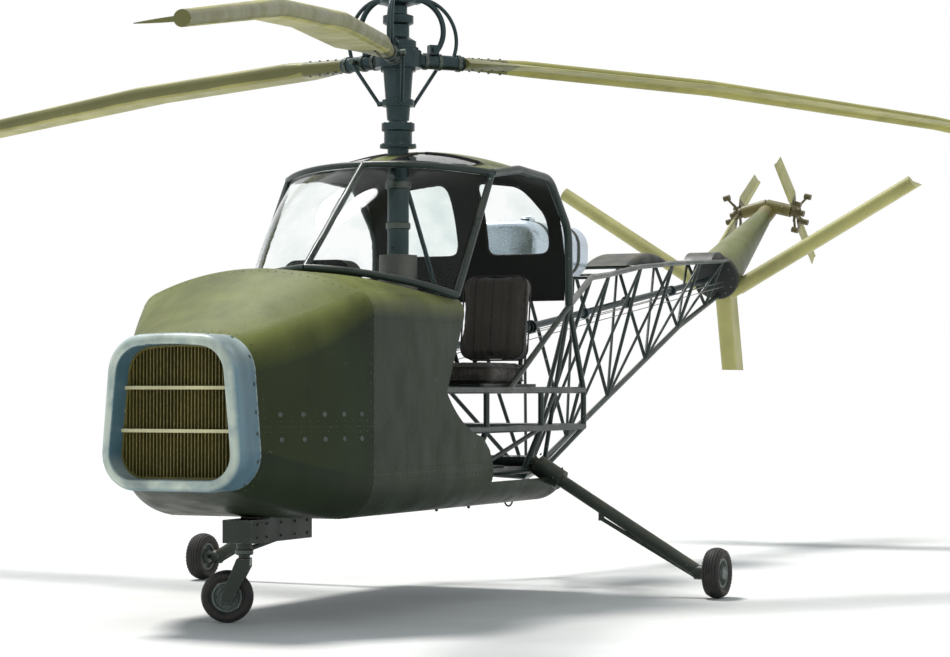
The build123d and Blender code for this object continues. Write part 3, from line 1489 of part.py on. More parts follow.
with BuildPart() as pitch_links:
    with Locations((0, 0, LINK_RING_Z)):
        Cylinder(LINK_RING_RADIUS, 30)
    for angle in BLADE_ANGLES:
        outward, aft = blade_axes(angle)
        lead = -aft
        side_step = Vector(lead.X, lead.Y, 0).normalized() * 30
        ring_point = outward * (LINK_RING_RADIUS - 10) + side_step + Vector(0, 0, LINK_RING_Z)
        lower = outward * (LINK_RING_RADIUS + 20) + side_step + Vector(0, 0, LINK_RING_Z)
        strut(ring_point, lower, LINK_RADIUS + 3)
        upper = horn_tip(angle) - Vector(0, 0, HORN_RADIUS)
        strut(lower - outward * 4, upper, LINK_RADIUS)
    cover_form(FIT, Mode.SUBTRACT)
    for angle in BLADE_ANGLES:
        outward, aft = blade_axes(angle)
        strut(blade_point(angle, HORN_REACH), horn_tip(angle) - aft * FIT, HORN_RADIUS + FIT, Mode.SUBTRACT)
save(pitch_links, "pitch_links")
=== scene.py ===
"""Looks of the light helicopter: finishes, soft parts and fine detail round the fixed frame.

Metres, in the frame's axes: +X to the port side, -Y to the nose and +Z up. The
origin is the jack pad under the rotor mast, so the floor is below zero.
"""

import json
import math
import random

import bmesh
import bpy
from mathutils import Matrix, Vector
from mathutils.bvhtree import BVHTree


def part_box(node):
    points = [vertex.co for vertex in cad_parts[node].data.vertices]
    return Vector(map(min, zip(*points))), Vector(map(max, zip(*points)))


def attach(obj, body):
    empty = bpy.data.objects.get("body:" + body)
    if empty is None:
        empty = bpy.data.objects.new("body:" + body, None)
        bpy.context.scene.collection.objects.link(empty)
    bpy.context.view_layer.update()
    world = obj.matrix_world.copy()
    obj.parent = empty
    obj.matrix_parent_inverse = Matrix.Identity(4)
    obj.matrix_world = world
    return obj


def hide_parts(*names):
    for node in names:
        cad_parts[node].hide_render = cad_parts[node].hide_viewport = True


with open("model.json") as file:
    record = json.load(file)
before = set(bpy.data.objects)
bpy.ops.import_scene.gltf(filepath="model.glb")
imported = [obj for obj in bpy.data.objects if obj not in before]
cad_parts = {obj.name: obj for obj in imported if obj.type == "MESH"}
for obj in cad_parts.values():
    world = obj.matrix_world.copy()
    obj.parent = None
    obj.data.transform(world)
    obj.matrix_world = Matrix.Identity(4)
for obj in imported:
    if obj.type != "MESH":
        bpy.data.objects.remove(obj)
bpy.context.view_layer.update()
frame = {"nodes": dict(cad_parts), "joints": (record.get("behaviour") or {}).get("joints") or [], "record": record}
nodes = frame["nodes"]
scene = bpy.context.scene
SIDES = {"port": 1, "starboard": -1}

# Camera, where the photograph was taken from
PHOTO_WIDTH = 950
FOCAL_PIXELS = 2495
SENSOR = 36.0
CAMERA_PLACE = Vector((5.233, -10.478, 0.553))
CAMERA_LOOK = Vector((-0.41885, 0.90773, 0.02419))

# Light and floor
FLOOR_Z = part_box("main_tyre_port")[0].z
FLOOR_HALF = 60.0
FADE_START = 9.0
FADE_END = 34.0
SUN_FROM = Vector((-0.42, 0.16, 1.0))
SUN_STRENGTH = 3.3
SUN_ANGLE = 14.0
SKY_STRENGTH = 0.50

# Directions
X_AXIS = Vector((1, 0, 0))
Y_AXIS = Vector((0, 1, 0))
UP = Vector((0, 0, 1))
DOWN = -UP

# Places that the fixed frame shares, in metres
SHELL_MIDDLE = Vector((0.0, -0.3, 0.6))
COWL_FRONT = -1.855
COWL_REAR = -1.34
COWL_SPLIT = 0.40
FIREWALL_Y = -1.02
ROTOR_HUB_Z = 2.10
BLADE_PITCH = math.radians(5)
BLADES = range(3)
BLADE_ANGLES = [math.radians(18 + 120 * index) for index in BLADES]
BLADE_REACH = 4.4
BLADE_CHORD = 0.25
TIP_DROOPS = (0.455, 0.37, 0.37)
TAIL_RING = Vector((0, 4.5, 1.262))
TAIL_RISE = math.radians(24.5)
TAIL_AXIS = Vector((0, math.cos(TAIL_RISE), math.sin(TAIL_RISE)))
TAIL_HUB = Vector((0.2, 5.55, 1.735))
DRIVE_START_Z = 0.70
DRIVE_END_Z = 1.244
SEAT_LEAN = math.radians(8)
FLOOR_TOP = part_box("cabin_floor")[1].z
SEAT_X = 0.33


def mirrored(place, side):
    """A place given for the port side, on one side or the other."""
    x, y, z = place
    return Vector((side * x, y, z))


def place_camera():
    """A camera with the photograph's place, direction and focal length."""
    data = bpy.data.cameras.new("camera")
    data.sensor_fit = "HORIZONTAL"
    data.sensor_width = SENSOR
    data.lens = SENSOR * FOCAL_PIXELS / PHOTO_WIDTH
    data.clip_end = 400
    camera = bpy.data.objects.new("camera", data)
    camera.location = CAMERA_PLACE
    camera.rotation_euler = CAMERA_LOOK.to_track_quat("-Z", "Y").to_euler()
    scene.collection.objects.link(camera)
    scene.camera = camera


def add_sun():
    """A soft far lamp, like light through thin cloud."""
    data = bpy.data.lights.new("sun", "SUN")
    data.energy = SUN_STRENGTH
    data.angle = math.radians(SUN_ANGLE)
    lamp = bpy.data.objects.new("sun", data)
    lamp.rotation_euler = SUN_FROM.to_track_quat("Z", "Y").to_euler()
    scene.collection.objects.link(lamp)


def seen_directly(tree):
    """A factor that is 1 for camera, glossy and transmitted rays."""
    path = tree.nodes.new("ShaderNodeLightPath")
    total = None
    for ray in ("Is Camera Ray", "Is Glossy Ray", "Is Transmission Ray"):
        if total is None:
            total = path.outputs[ray]
            continue
        higher = tree.nodes.new("ShaderNodeMath")
        higher.operation = "MAXIMUM"
        tree.links.new(total, higher.inputs[0])
        tree.links.new(path.outputs[ray], higher.inputs[1])
        total = higher.outputs[0]
    return total


def make_world():
    """A plain white backdrop that lights the object like an overcast sky."""
    world = bpy.data.worlds.new("world")
    world.use_nodes = True
    tree = world.node_tree
    backdrop = tree.nodes["Background"]
    backdrop.inputs["Color"].default_value = (1, 1, 1, 1)
    backdrop.inputs["Strength"].default_value = 1.0
    sky = tree.nodes.new("ShaderNodeBackground")
    sky.inputs["Color"].default_value = (0.80, 0.90, 1.0, 1)
    sky.inputs["Strength"].default_value = SKY_STRENGTH
    blend = tree.nodes.new("ShaderNodeMixShader")
    tree.links.new(seen_directly(tree), blend.inputs[0])
    tree.links.new(sky.outputs[0], blend.inputs[1])
    tree.links.new(backdrop.outputs[0], blend.inputs[2])
    tree.links.new(blend.outputs[0], tree.nodes["World Output"].inputs["Surface"])
    scene.world = world


# Materials

def linear(red, green, blue):
    """A colour from its values on a 0 to 255 screen scale."""
    channels = []
    for value in (red, green, blue):
        share = value / 255
        channels.append(share / 12.92 if share <= 0.04045 else ((share + 0.055) / 1.055) ** 2.4)
    return (*channels, 1.0)


def shade(colour, factor):
    """The same colour, lighter or darker."""
    return tuple(min(1.0, channel * factor) for channel in colour[:3]) + (1.0,)


class Surface:
    """A node material, built up in layers over one shader."""

    def __init__(self, name, roughness=0.5, metallic=0.0):
        self.material = bpy.data.materials.new(name)
        self.material.use_nodes = True
        self.tree = self.material.node_tree
        self.shader = self.tree.nodes["Principled BSDF"]
        self.set("Roughness", roughness)
        self.set("Metallic", metallic)
        self.place = self.node("ShaderNodeTexCoord").outputs["Object"]

    def node(self, kind, **inputs):
        """A new node with some of its inputs set or linked."""
        made = self.tree.nodes.new(kind)
        for name, value in inputs.items():
            self.feed(made.inputs[name.replace("_", " ")], value)
        return made

    def feed(self, socket, value):
        """Links a socket to another one, or sets its value."""
        if isinstance(value, bpy.types.NodeSocket):
            self.tree.links.new(value, socket)
        else:
            socket.default_value = value

    def set(self, name, value):
        """Links or sets one of the shader's inputs."""
        self.feed(self.shader.inputs[name], value)

    def stretched(self, scale):
        """Coordinates scaled along each axis, for streaks and brushing."""
        mapping = self.node("ShaderNodeMapping", Vector=self.place)
        mapping.inputs["Scale"].default_value = scale
        return mapping.outputs[0]

    def noise(self, scale, detail=4.0, low=0.0, high=1.0, stretch=None):
        """A cloudy pattern, spread so that low becomes 0 and high becomes 1."""
        source = self.stretched(stretch) if stretch else self.place
        cloud = self.node("ShaderNodeTexNoise", Vector=source, Scale=scale, Detail=detail)
        return self.span(cloud.outputs["Fac"], low, high)

    def span(self, value, low, high, start=0.0, end=1.0):
        """A value spread from low and high to start and end, and held there."""
        spread = self.node("ShaderNodeMapRange")
        self.feed(spread.inputs["Value"], value)
        for name, number in (("From Min", low), ("From Max", high), ("To Min", start), ("To Max", end)):
            spread.inputs[name].default_value = number
        return spread.outputs[0]

    def sum(self, operation, first, second):
        """A sum, product or other result of two values."""
        step = self.node("ShaderNodeMath")
        step.operation = operation
        self.feed(step.inputs[0], first)
        self.feed(step.inputs[1], second)
        return step.outputs[0]

    def vector(self, operation, *values):
        """The outputs of a sum or other result of vectors."""
        step = self.node("ShaderNodeVectorMath")
        step.operation = operation
        for socket, value in zip(step.inputs, values):
            self.feed(socket, value)
        return step.outputs

    def dot(self, first, second):
        """How far one vector runs along another."""
        return self.vector("DOT_PRODUCT", first, second)["Value"]

    def normal(self):
        """The surface's own normal."""
        return self.node("ShaderNodeNewGeometry").outputs["Normal"]

    def mix(self, factor, first, second):
        """One colour over another by a factor."""
        step = self.node("ShaderNodeMix")
        step.data_type = "RGBA"
        self.feed(step.inputs["Factor"], factor)
        self.feed(step.inputs[6], first)
        self.feed(step.inputs[7], second)
        return step.outputs[2]

    def edges(self, radius, low=0.02, high=0.2):
        """1 on outer and inner edges, from how far rounding would turn the face."""
        rounded = self.node("ShaderNodeBevel", Radius=radius)
        rounded.samples = 4
        return self.span(self.dot(rounded.outputs[0], self.normal()), 1.0 - low, 1.0 - high)

    def upward(self, low=0.2, high=0.95):
        """1 where the surface faces up, where dust settles and where a top is painted lighter as painted sunlight.
        """
        height = self.node("ShaderNodeSeparateXYZ", Vector=self.normal()).outputs["Z"]
        return self.span(height, low, high)

    def along(self, direction):
        """Distance of the point from the origin, measured along a direction."""
        return self.dot(self.place, direction)

    def inner(self, middle):
        """1 on the faces that look back at a middle point, the inside of a shell."""
        outward = self.vector("SUBTRACT", self.place, middle)[0]
        return self.sum("LESS_THAN", self.dot(outward, self.normal()), 0.0)

    def relief(self, height, depth):
        """Bump from a height of 0 to 1, that many metres deep."""
        bump = self.node("ShaderNodeBump", Height=height)
        bump.inputs["Distance"].default_value = depth
        self.set("Normal", bump.outputs[0])


def worn_paint(
    name, colour, chip, roughness=0.45, wear=0.6, dust=0.25, dirt=0.35, edge=0.006,
    lit_top=None, inside_shade=None, marks=None, gloss=0.35,
):
    """Faded paint with smudges, dust on top and chips along the edges.

    The top may be painted lighter in a colour of its own, as painted sunlight, the
    inside of a shell may be painted dark, as painted shade, and marks adds painted
    areas to the surface.
    """
    paint = Surface(name)
    colour = linear(*colour)
    paint.set("Specular IOR Level", gloss)
    toned = paint.mix(paint.noise(2.6, 5, 0.3, 0.7), shade(colour, 0.78), shade(colour, 1.18))
    # Painted sunlight: faces that turn up are mixed towards a lighter top colour, as if lit from above.
    if lit_top:
        top = linear(*lit_top)
        lit_top_tone = paint.mix(paint.noise(3.4, 5, 0.3, 0.7), shade(top, 0.8), shade(top, 1.15))
        top_light = paint.sum("MULTIPLY", paint.upward(0.0, 0.7), paint.noise(1.8, 4, 0.1, 0.5))
        toned = paint.mix(top_light, toned, lit_top_tone)
    if marks:
        toned = marks(paint, toned)
    streaks = paint.noise(7.0, 6, 0.48, 0.78, stretch=(1.0, 1.0, 0.22))
    stained = paint.mix(paint.sum("MULTIPLY", streaks, dirt), toned, shade(colour, 0.35))
    powder = paint.sum("MULTIPLY", paint.upward(), paint.noise(11.0, 5, 0.35, 0.75))
    dusty = paint.mix(paint.sum("MULTIPLY", powder, dust), stained, linear(150, 138, 104))
    flakes = paint.sum("MULTIPLY", paint.edges(edge), paint.noise(70.0, 4, 0.44, 0.6))
    specks = paint.noise(38.0, 8, 0.71, 0.74)
    worn = paint.sum("MULTIPLY", paint.sum("MAXIMUM", flakes, specks), wear)
    painted = paint.mix(worn, dusty, linear(*chip))
    # Painted shade: faces inside a shell are painted near black, as if in shade.
    if inside_shade:
        painted = paint.mix(paint.inner(SHELL_MIDDLE), painted, linear(*inside_shade))
    paint.set("Base Color", painted)
    paint.set("Roughness", paint.noise(9.0, 6, 0.25, 0.75, stretch=(1, 1, 0.5)))
    rough = paint.shader.inputs["Roughness"].links[0].from_node
    rough.inputs["To Min"].default_value = roughness - 0.10
    rough.inputs["To Max"].default_value = roughness + 0.14
    paint.relief(paint.noise(55.0, 3), 0.0006)
    return paint.material


def bare_metal(name, colour, roughness=0.34, oil=0.3, brushing=(1.0, 1.0, 8.0), edge=0.004):
    """Machined metal with tool marks, brighter edges and oily smears."""
    metal = Surface(name, metallic=0.85)
    colour = linear(*colour)
    marks = metal.noise(120.0, 3, 0.3, 0.7, stretch=brushing)
    base = metal.mix(marks, shade(colour, 0.72), shade(colour, 1.2))
    smears = metal.sum("MULTIPLY", metal.noise(10.0, 6, 0.45, 0.72), oil)
    oiled = metal.mix(smears, base, shade(colour, 0.22))
    metal.set("Base Color", metal.mix(metal.edges(edge), oiled, shade(colour, 2.2)))
    metal.set("Roughness", metal.span(smears, 0.0, max(oil, 0.01), roughness, roughness * 0.6))
    metal.relief(marks, 0.0002)
    return metal.material


def glazing(name):
    """Clear acrylic with a faint tint and a dust film."""
    pane = Surface(name, roughness=0.02)
    film = pane.noise(6.0, 6, 0.4, 0.8)
    pane.set("Base Color", pane.mix(film, linear(250, 253, 252), linear(226, 236, 234)))
    pane.set("Transmission Weight", 1.0)
    pane.set("IOR", 1.12)
    pane.set("Roughness", pane.span(film, 0.0, 1.0, 0.01, 0.07))
    return pane.material


def rubber(name, colour=(24, 24, 25), dust=0.35):
    """Tyre rubber, dusty grey where it has rolled."""
    tyre = Surface(name)
    powder = tyre.sum("MULTIPLY", tyre.noise(22.0, 7, 0.35, 0.75), dust)
    tyre.set("Base Color", tyre.mix(powder, linear(*colour), linear(112, 104, 92)))
    tyre.set("Roughness", tyre.span(powder, 0.0, dust, 0.62, 0.9))
    tyre.relief(tyre.noise(260.0, 3), 0.0003)
    return tyre.material


def canvas(name, colour):
    """Woven cover cloth with a fine weave and rubbed high spots."""
    cloth = Surface(name, roughness=0.85)
    colour = linear(*colour)
    heights = None
    for stretch in ((1.0, 0.02, 0.02), (0.02, 1.0, 0.4)):
        wave = cloth.node("ShaderNodeTexWave", Vector=cloth.stretched(stretch), Scale=330.0)
        heights = wave.outputs["Fac"] if heights is None else cloth.sum("ADD", heights, wave.outputs["Fac"])
    weave = cloth.span(heights, 0.4, 1.6)
    paler_mask = cloth.noise(7.0, 5, 0.35, 0.7)
    tone = cloth.mix(paler_mask, shade(colour, 0.7), shade(colour, 1.35))
    cloth.set("Base Color", cloth.mix(weave, shade(colour, 0.6), tone))
    cloth.set("Sheen Weight", 0.25)
    cloth.relief(weave, 0.0006)
    return cloth.material


def blade_directions(index):
    """Outward and rearward directions of one main blade."""
    turn = BLADE_ANGLES[index]
    outward = Vector((math.sin(turn), -math.cos(turn), 0))
    level = math.cos(BLADE_PITCH)
    aft = Vector((-math.cos(turn) * level, -math.sin(turn) * level, -math.sin(BLADE_PITCH)))
    return outward, aft


def blade_point(index, reach, lift=0.0):
    """A point along one drooping main blade."""
    outward = blade_directions(index)[0]
    droop = TIP_DROOPS[index] * (reach / BLADE_REACH) ** 2
    return outward * reach + Vector((0, 0, ROTOR_HUB_Z - droop + lift))


BLADE_DARK = linear(80, 82, 48)
BLADE_EDGE = 0.012
TAPER_START = 1.6
CUFF_START = 0.3
CUFF_END = 0.56
TIP_BAND = 0.05


def blade_marks(paint, base):
    """Dark leading edges, root cuffs and tips on the main blades."""
    for index in BLADES:
        outward, aft = blade_directions(index)
        reach = paint.along(outward)
        behind = paint.along(Vector((aft.x, aft.y, 0)))
        root_edge = -0.25 * BLADE_CHORD + BLADE_EDGE
        tip_edge = -0.175 * BLADE_CHORD + BLADE_EDGE
        edge = paint.span(reach, TAPER_START, BLADE_REACH, root_edge, tip_edge)
        raggedness = paint.span(paint.noise(3.0, 2, 0.3, 0.7), 0.0, 1.0, -0.003, 0.003)
        ragged = paint.sum("ADD", edge, raggedness)
        front = paint.sum("LESS_THAN", behind, ragged)
        cuff = paint.sum("LESS_THAN", reach, CUFF_END)
        tip = paint.sum("GREATER_THAN", reach, BLADE_REACH - TIP_BAND)
        here = paint.sum("GREATER_THAN", reach, CUFF_START)
        mask = paint.sum("MULTIPLY", paint.sum("MAXIMUM", paint.sum("MAXIMUM", front, cuff), tip), here)
        base = paint.mix(paint.sum("MULTIPLY", mask, 0.75), base, BLADE_DARK)
    return base


def ring_marks(paint, base):
    """Paint paler in patches on the faces of the intake ring that turn forward."""
    paler_mask = paint.span(paint.dot(paint.normal(), (0, -1, 0)), 0.35, 0.9)
    patches = paint.noise(8.0, 6, 0.2, 0.55)
    return paint.mix(paint.sum("MULTIPLY", paler_mask, patches), base, linear(200, 210, 196))


OILY_HUB = linear(92, 84, 52)
OILY_REACH = 0.17


def hub_marks(paint, base):
    """Oily dark metal near the tail rotors' hubs."""
    for side in SIDES.values():
        gap = paint.vector("DISTANCE", paint.place, mirrored(TAIL_HUB, side))["Value"]
        near = paint.sum("LESS_THAN", gap, OILY_REACH)
        base = paint.mix(near, base, OILY_HUB)
    return base


# Finishes: their colours, on the screen scale, are the paint's and then the chips'
# The skin's side colour is its olive paint darkened further as painted shade; its top colour is painted sunlight.
SHADED_SIDE_PAINT = (42, 51, 36)
LIT_TOP_COLOUR = (112, 118, 62)
# Near black, painted shade for the inside of shells.
INSIDE_SHADE = (27, 30, 27)
PALE_CHIP = (150, 152, 118)
MATERIALS = {
    # Skin: sides and inside darkened as painted shade, top lightened as painted sunlight.
    "skin": worn_paint(
        "olive_paint", SHADED_SIDE_PAINT, PALE_CHIP, 0.40, wear=0.25, dust=0.08, lit_top=LIT_TOP_COLOUR,
        inside_shade=INSIDE_SHADE, gloss=0.12,
    ),
    # The ring's paler top colour is painted sunlight on its upper faces.
    "intake_ring": worn_paint(
        "ring_paint", (92, 126, 140), (214, 222, 208), 0.36, wear=0.9, dirt=0.7, dust=0.05, edge=0.02,
        lit_top=(176, 192, 192), marks=ring_marks,
    ),
    "grille": worn_paint("grille_paint", (112, 104, 54), (170, 158, 96), 0.45, dirt=0.7),
    "grille_bars": worn_paint("bar_paint", (224, 218, 172), (140, 128, 90), 0.4, wear=0.5),
    "engine": bare_metal("cast_metal", (92, 92, 88), 0.55, oil=0.6),
    "dark_metal": worn_paint("dark_paint", (36, 42, 38), (112, 118, 106), 0.5),
    "frame": worn_paint("frame_paint", (40, 54, 50), (136, 162, 146), 0.32, wear=0.9),
    "glazing": glazing("clear_sheet"),
    "seat_cover": canvas("seat_canvas", (62, 56, 46)),
    "panel": worn_paint("panel_paint", (34, 35, 36), (120, 120, 118), 0.6, wear=0.4),
    "mast": bare_metal("mast_metal", (52, 66, 68), 0.4, oil=0.6),
    "blade": worn_paint(
        "blade_paint", (164, 160, 88), (222, 220, 170), 0.42, wear=0.3, dirt=0.5, marks=blade_marks
    ),
    "tank": bare_metal("tank_metal", (196, 208, 220), 0.3, oil=0.12, brushing=(1.0, 8.0, 1.0)),
    "gear": worn_paint("gear_paint", (50, 58, 50), (156, 160, 138), 0.4, wear=0.9, dust=0.4),
    "tyre": rubber("tyre_rubber"),
    "rim": worn_paint("rim_paint", (96, 106, 100), (190, 192, 184), 0.45, dust=0.4),
}
FIN_PAINT = worn_paint("fin_paint", (176, 172, 108), (96, 94, 58), 0.42, wear=0.6, edge=0.012)
TAIL_BLADE_PAINT = worn_paint(
    "tail_blade_paint", (172, 168, 110), (60, 60, 40), 0.42, wear=0.8, edge=0.01, marks=hub_marks
)
# Finishes of single nodes, where they differ from their slot's
NODE_FINISHES = {
    # The cone's lighter top colour is painted sunlight on its upper faces.
    "tail_cone": worn_paint("cone_paint", (84, 92, 58), (190, 190, 150), 0.4, wear=0.5, lit_top=LIT_TOP_COLOUR),
    "tail_gearbox": worn_paint("gearbox_paint", (120, 112, 64), (204, 196, 140), 0.4, dirt=0.9),
    "fin_port": FIN_PAINT,
    "fin_starboard": FIN_PAINT,
    "ventral_fin": FIN_PAINT,
    "tail_rotor_port": TAIL_BLADE_PAINT,
    "tail_rotor_starboard": TAIL_BLADE_PAINT,
}
PAINTED_BOLT = bare_metal("bolt_metal", (84, 92, 86), 0.45, oil=0.5, edge=0.001)
BLACK_RUBBER = rubber("black_rubber", (20, 21, 21), dust=0.2)
CABLE_STEEL = bare_metal("cable_steel", (120, 122, 120), 0.42, oil=0.4, edge=0.001)


def repaint(data, finish):
    """Puts one finish in place of whatever a mesh had."""
    data.materials.clear()
    data.materials.append(finish)


def dress_nodes():
    """Gives every fixed node the finish of its slot, or one of its own."""
    for entry in frame["record"]["subparts"]:
        finish = NODE_FINISHES.get(entry["node"], MATERIALS[entry["material_slot"]])
        repaint(nodes[entry["node"]].data, finish)


# Shapes

def across(axis):
    """Two directions square to an axis and to each other."""
    axis = axis.normalized()
    helper = UP if abs(axis.z) < 0.9 else X_AXIS
    first = axis.cross(helper).normalized()
    return first, axis.cross(first)


def spokes(axis, count, start=0.0):
    """Evenly spaced directions round an axis."""
    first, second = across(axis)
    turns = (start + 2 * math.pi * index / count for index in range(count))
    return [first * math.cos(turn) + second * math.sin(turn) for turn in turns]


def facing(normal, direction):
    """The normal, turned to the same side as a direction."""
    return normal if normal.dot(direction) > 0 else -normal


SHARP_ANGLE = math.radians(38)


class Mould:
    """A mesh in the making, joined from turned and swept forms."""

    def __init__(self):
        self.mesh = bmesh.new()

    def skin(self, rings, round_again=False, caps=True):
        """Faces between rings of points, each ring closed in itself."""
        made = [[self.mesh.verts.new(point) for point in ring] for ring in rings]
        pairs = list(zip(made, made[1:]))
        if round_again:
            pairs.append((made[-1], made[0]))
        for low, high in pairs:
            for index in range(len(low)):
                after = (index + 1) % len(low)
                self.mesh.faces.new((low[index], low[after], high[after], high[index]))
        if caps and not round_again:
            self.mesh.faces.new(list(reversed(made[0])))
            self.mesh.faces.new(made[-1])

    def turned(self, profile, origin, axis, steps=24, round_again=False):
        """A profile of (radius, height) turned about an axis."""
        lift = axis.normalized()
        round_axis = spokes(axis, steps)
        rings = []
        for radius, height in profile:
            middle = origin + lift * height
            rings.append([middle + out * radius for out in round_axis])
        self.skin(rings, round_again, caps=not round_again)

    def tube(self, points, radius, sides=10, closed=False):
        """A round tube along points, without twist."""
        count = len(points)
        rings = []
        side = None
        for index, point in enumerate(points):
            before = points[index - 1] if index or closed else point
            after = points[(index + 1) % count] if index < count - 1 or closed else point
            run = (after - before).normalized()
            side = across(run)[0] if side is None else (side - run * side.dot(run)).normalized()
            up = run.cross(side)
            rings.append([
                point + (side * math.cos(turn) + up * math.sin(turn)) * radius
                for turn in (2 * math.pi * step / sides for step in range(sides))
            ])
        self.skin(rings, round_again=closed, caps=not closed)

    def band(self, points, width, thick, across_run):
        """A flat strap round a closed path."""
        count = len(points)
        middle = sum(points, Vector()) / count
        rings = []
        for index, point in enumerate(points):
            run = (points[(index + 1) % count] - points[index - 1]).normalized()
            out = run.cross(across_run).normalized()
            if out.dot(point - middle) < 0:
                out.negate()
            half = across_run * width / 2
            low, high = point - half, point + half
            rings.append([low, high, high + out * thick, low + out * thick])
        self.skin(rings, round_again=True)

    def dome(self, centre, normal, radius, height, sides=8):
        """A low round rivet head."""
        rim = [(radius, -height * 0.5), (radius * 0.92, height * 0.35)]
        crown = [(radius * 0.55, height * 0.85), (radius * 0.06, height)]
        self.turned(rim + crown, centre, normal, sides)

    def bolt(self, centre, normal, radius, height=None):
        """A hexagon head on its washer."""
        height = height or radius * 0.9
        self.turned([(radius * 1.35, -height * 0.3), (radius * 1.35, height * 0.12)], centre, normal, 16)
        self.turned([(radius, 0), (radius, height * 0.9), (radius * 0.86, height)], centre, normal, 6)

    def bolt_circle(self, centre, axis, reach, count, radius, start=0.0):
        """Bolts evenly round an axis."""
        for out in spokes(axis, count, start):
            self.bolt(centre + out * reach, axis, radius)

    def collar(self, centre, axis, bore, rim, half, steps, bevel=0.001):
        """A ring round a tube, with bevelled edges."""
        profile = [(bore, -half), (rim, bevel - half), (rim, half - bevel), (bore, half)]
        self.turned(profile, centre, axis, steps)

    def done(self, name, slot, material=None, body="airframe"):
        """The finished piece, riding on its body, in its slot's finish or one of its own."""
        bmesh.ops.recalc_face_normals(self.mesh, faces=self.mesh.faces)
        data = bpy.data.meshes.new(name)
        self.mesh.to_mesh(data)
        self.mesh.free()
        data.materials.append(material or MATERIALS[slot])
        piece = bpy.data.objects.new(name, data)
        scene.collection.objects.link(piece)
        data.shade_smooth()
        data.set_sharp_from_angle(angle=SHARP_ANGLE)
        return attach(piece, body)


def search_tree(*meshes):
    """A search tree over some meshes' faces."""
    points, faces = [], []
    for data in meshes:
        first = len(points)
        points += [vertex.co.copy() for vertex in data.vertices]
        faces += [[first + index for index in polygon.vertices] for polygon in data.polygons]
    return BVHTree.FromPolygons(points, faces)


def surface_of(*names):
    """A search tree over some nodes' faces."""
    return search_tree(*(nodes[name].data for name in names))


def meet(skin, origin, toward):
    """Where a ray meets a skin: a list of its point and the normal that faces back, or none."""
    point, normal = skin.ray_cast(origin, toward)[:2]
    return [(point, facing(normal, -toward))] if point else []


def hits_along(skin, start, end, toward, pitch):
    """Points and normals at an even pitch where a moved ray meets a skin."""
    run = end - start
    count = max(1, round(run.length / pitch))
    found = []
    for index in range(count + 1):
        found += meet(skin, start + run * (index / count), toward)
    return found


FAR_OUT = 1.6
ROUND_STEPS = 720


def hits_round(skin, y, middle_z, start, end, pitch):
    """Points and normals round a section of a skin, from one angle to another."""
    found = []
    for step in range(ROUND_STEPS + 1):
        turn = math.radians(start + (end - start) * step / ROUND_STEPS)
        out = Vector((math.cos(turn), 0, math.sin(turn)))
        for point, normal in meet(skin, Vector((0, y, middle_z)) + out * FAR_OUT, -out):
            if not found or (point - found[-1][0]).length >= pitch:
                found.append((point, normal))
    return found


# Fasteners on the skins

# columns: node, start and end angle round the section
COWL_ARCS = [("nose_cowl_upper", -3, 183), ("nose_cowl_lower", 183, 357)]
BELLY_ARC = [("belly_skin", 180, 360)]
BODY_ARCS = [("deck_panel", 20, 160), ("side_panel_port", -40, 50), ("side_panel_starboard", 130, 220)]
# columns: y, arcs
RIVET_ROUNDS = [
    (COWL_REAR - 0.02, COWL_ARCS),
    (COWL_FRONT + 0.02, COWL_ARCS),
    (COWL_REAR + 0.02, BODY_ARCS + BELLY_ARC),
    (FIREWALL_Y - 0.005, BODY_ARCS + BELLY_ARC),
    (-0.17, BELLY_ARC),
    (0.20, BELLY_ARC),
    (0.67, BELLY_ARC),
]
# columns: node, or its name without the side, z, start and end y
RIVET_RUNS = [
    ("side_panel", 0.223, COWL_REAR + 0.04, -0.24),
    ("side_panel", 0.845, COWL_REAR + 0.04, -0.50),
    ("belly_skin", 0.178, COWL_REAR + 0.04, -0.18),
    ("nose_cowl_upper", COWL_SPLIT + 0.022, COWL_FRONT + 0.04, COWL_REAR - 0.04),
    ("nose_cowl_lower", COWL_SPLIT - 0.022, COWL_FRONT + 0.04, COWL_REAR - 0.04),
]
# columns: node, start and end of a line on the port side, ray
TOP_RUNS = [
    ("roof_panel", (0.485, -0.06, 2.0), (0.485, 0.49, 2.0), DOWN),
    ("rear_canopy", (0.485, 1.6, 1.04), (0.485, 1.6, 1.54), -Y_AXIS),
]
ROOF_REAR = ((-0.47, 0.478, 2.0), (0.47, 0.478, 2.0))
BESIDE = 1.2
RIVET_PITCH = 0.038
RIVET_RADIUS = 0.0042
RIVET_HEIGHT = 0.0018
SECTION_MIDDLE_Z = 0.45
# columns: place along the tail cone, rivets
CONE_ROUNDS = ((0.045, 26), (0.5, 20), (0.965, 14))
FIN_RIVET_PITCH = 0.05
FIN_ROW_OFFSETS = (-0.04, 0.16)


def skin_rivet_rows():
    """Points and normals of the rivets on the nose, belly and roof."""
    rows = []
    for y, arcs in RIVET_ROUNDS:
        for name, start, end in arcs:
            rows.append(hits_round(surface_of(name), y, SECTION_MIDDLE_Z, start, end, RIVET_PITCH))
    for name, z, start, end in RIVET_RUNS:
        for label, side in SIDES.items():
            skin = surface_of(name if name in nodes else f"{name}_{label}")
            first, last = (Vector((side * BESIDE, y, z)) for y in (start, end))
            rows.append(hits_along(skin, first, last, X_AXIS * -side, RIVET_PITCH))
    for side in SIDES.values():
        for name, start, end, ray in TOP_RUNS:
            first, last = mirrored(start, side), mirrored(end, side)
            rows.append(hits_along(surface_of(name), first, last, ray, RIVET_PITCH))
    rows.append(hits_along(surface_of("roof_panel"), *map(Vector, ROOF_REAR), DOWN, RIVET_PITCH))
    return rows


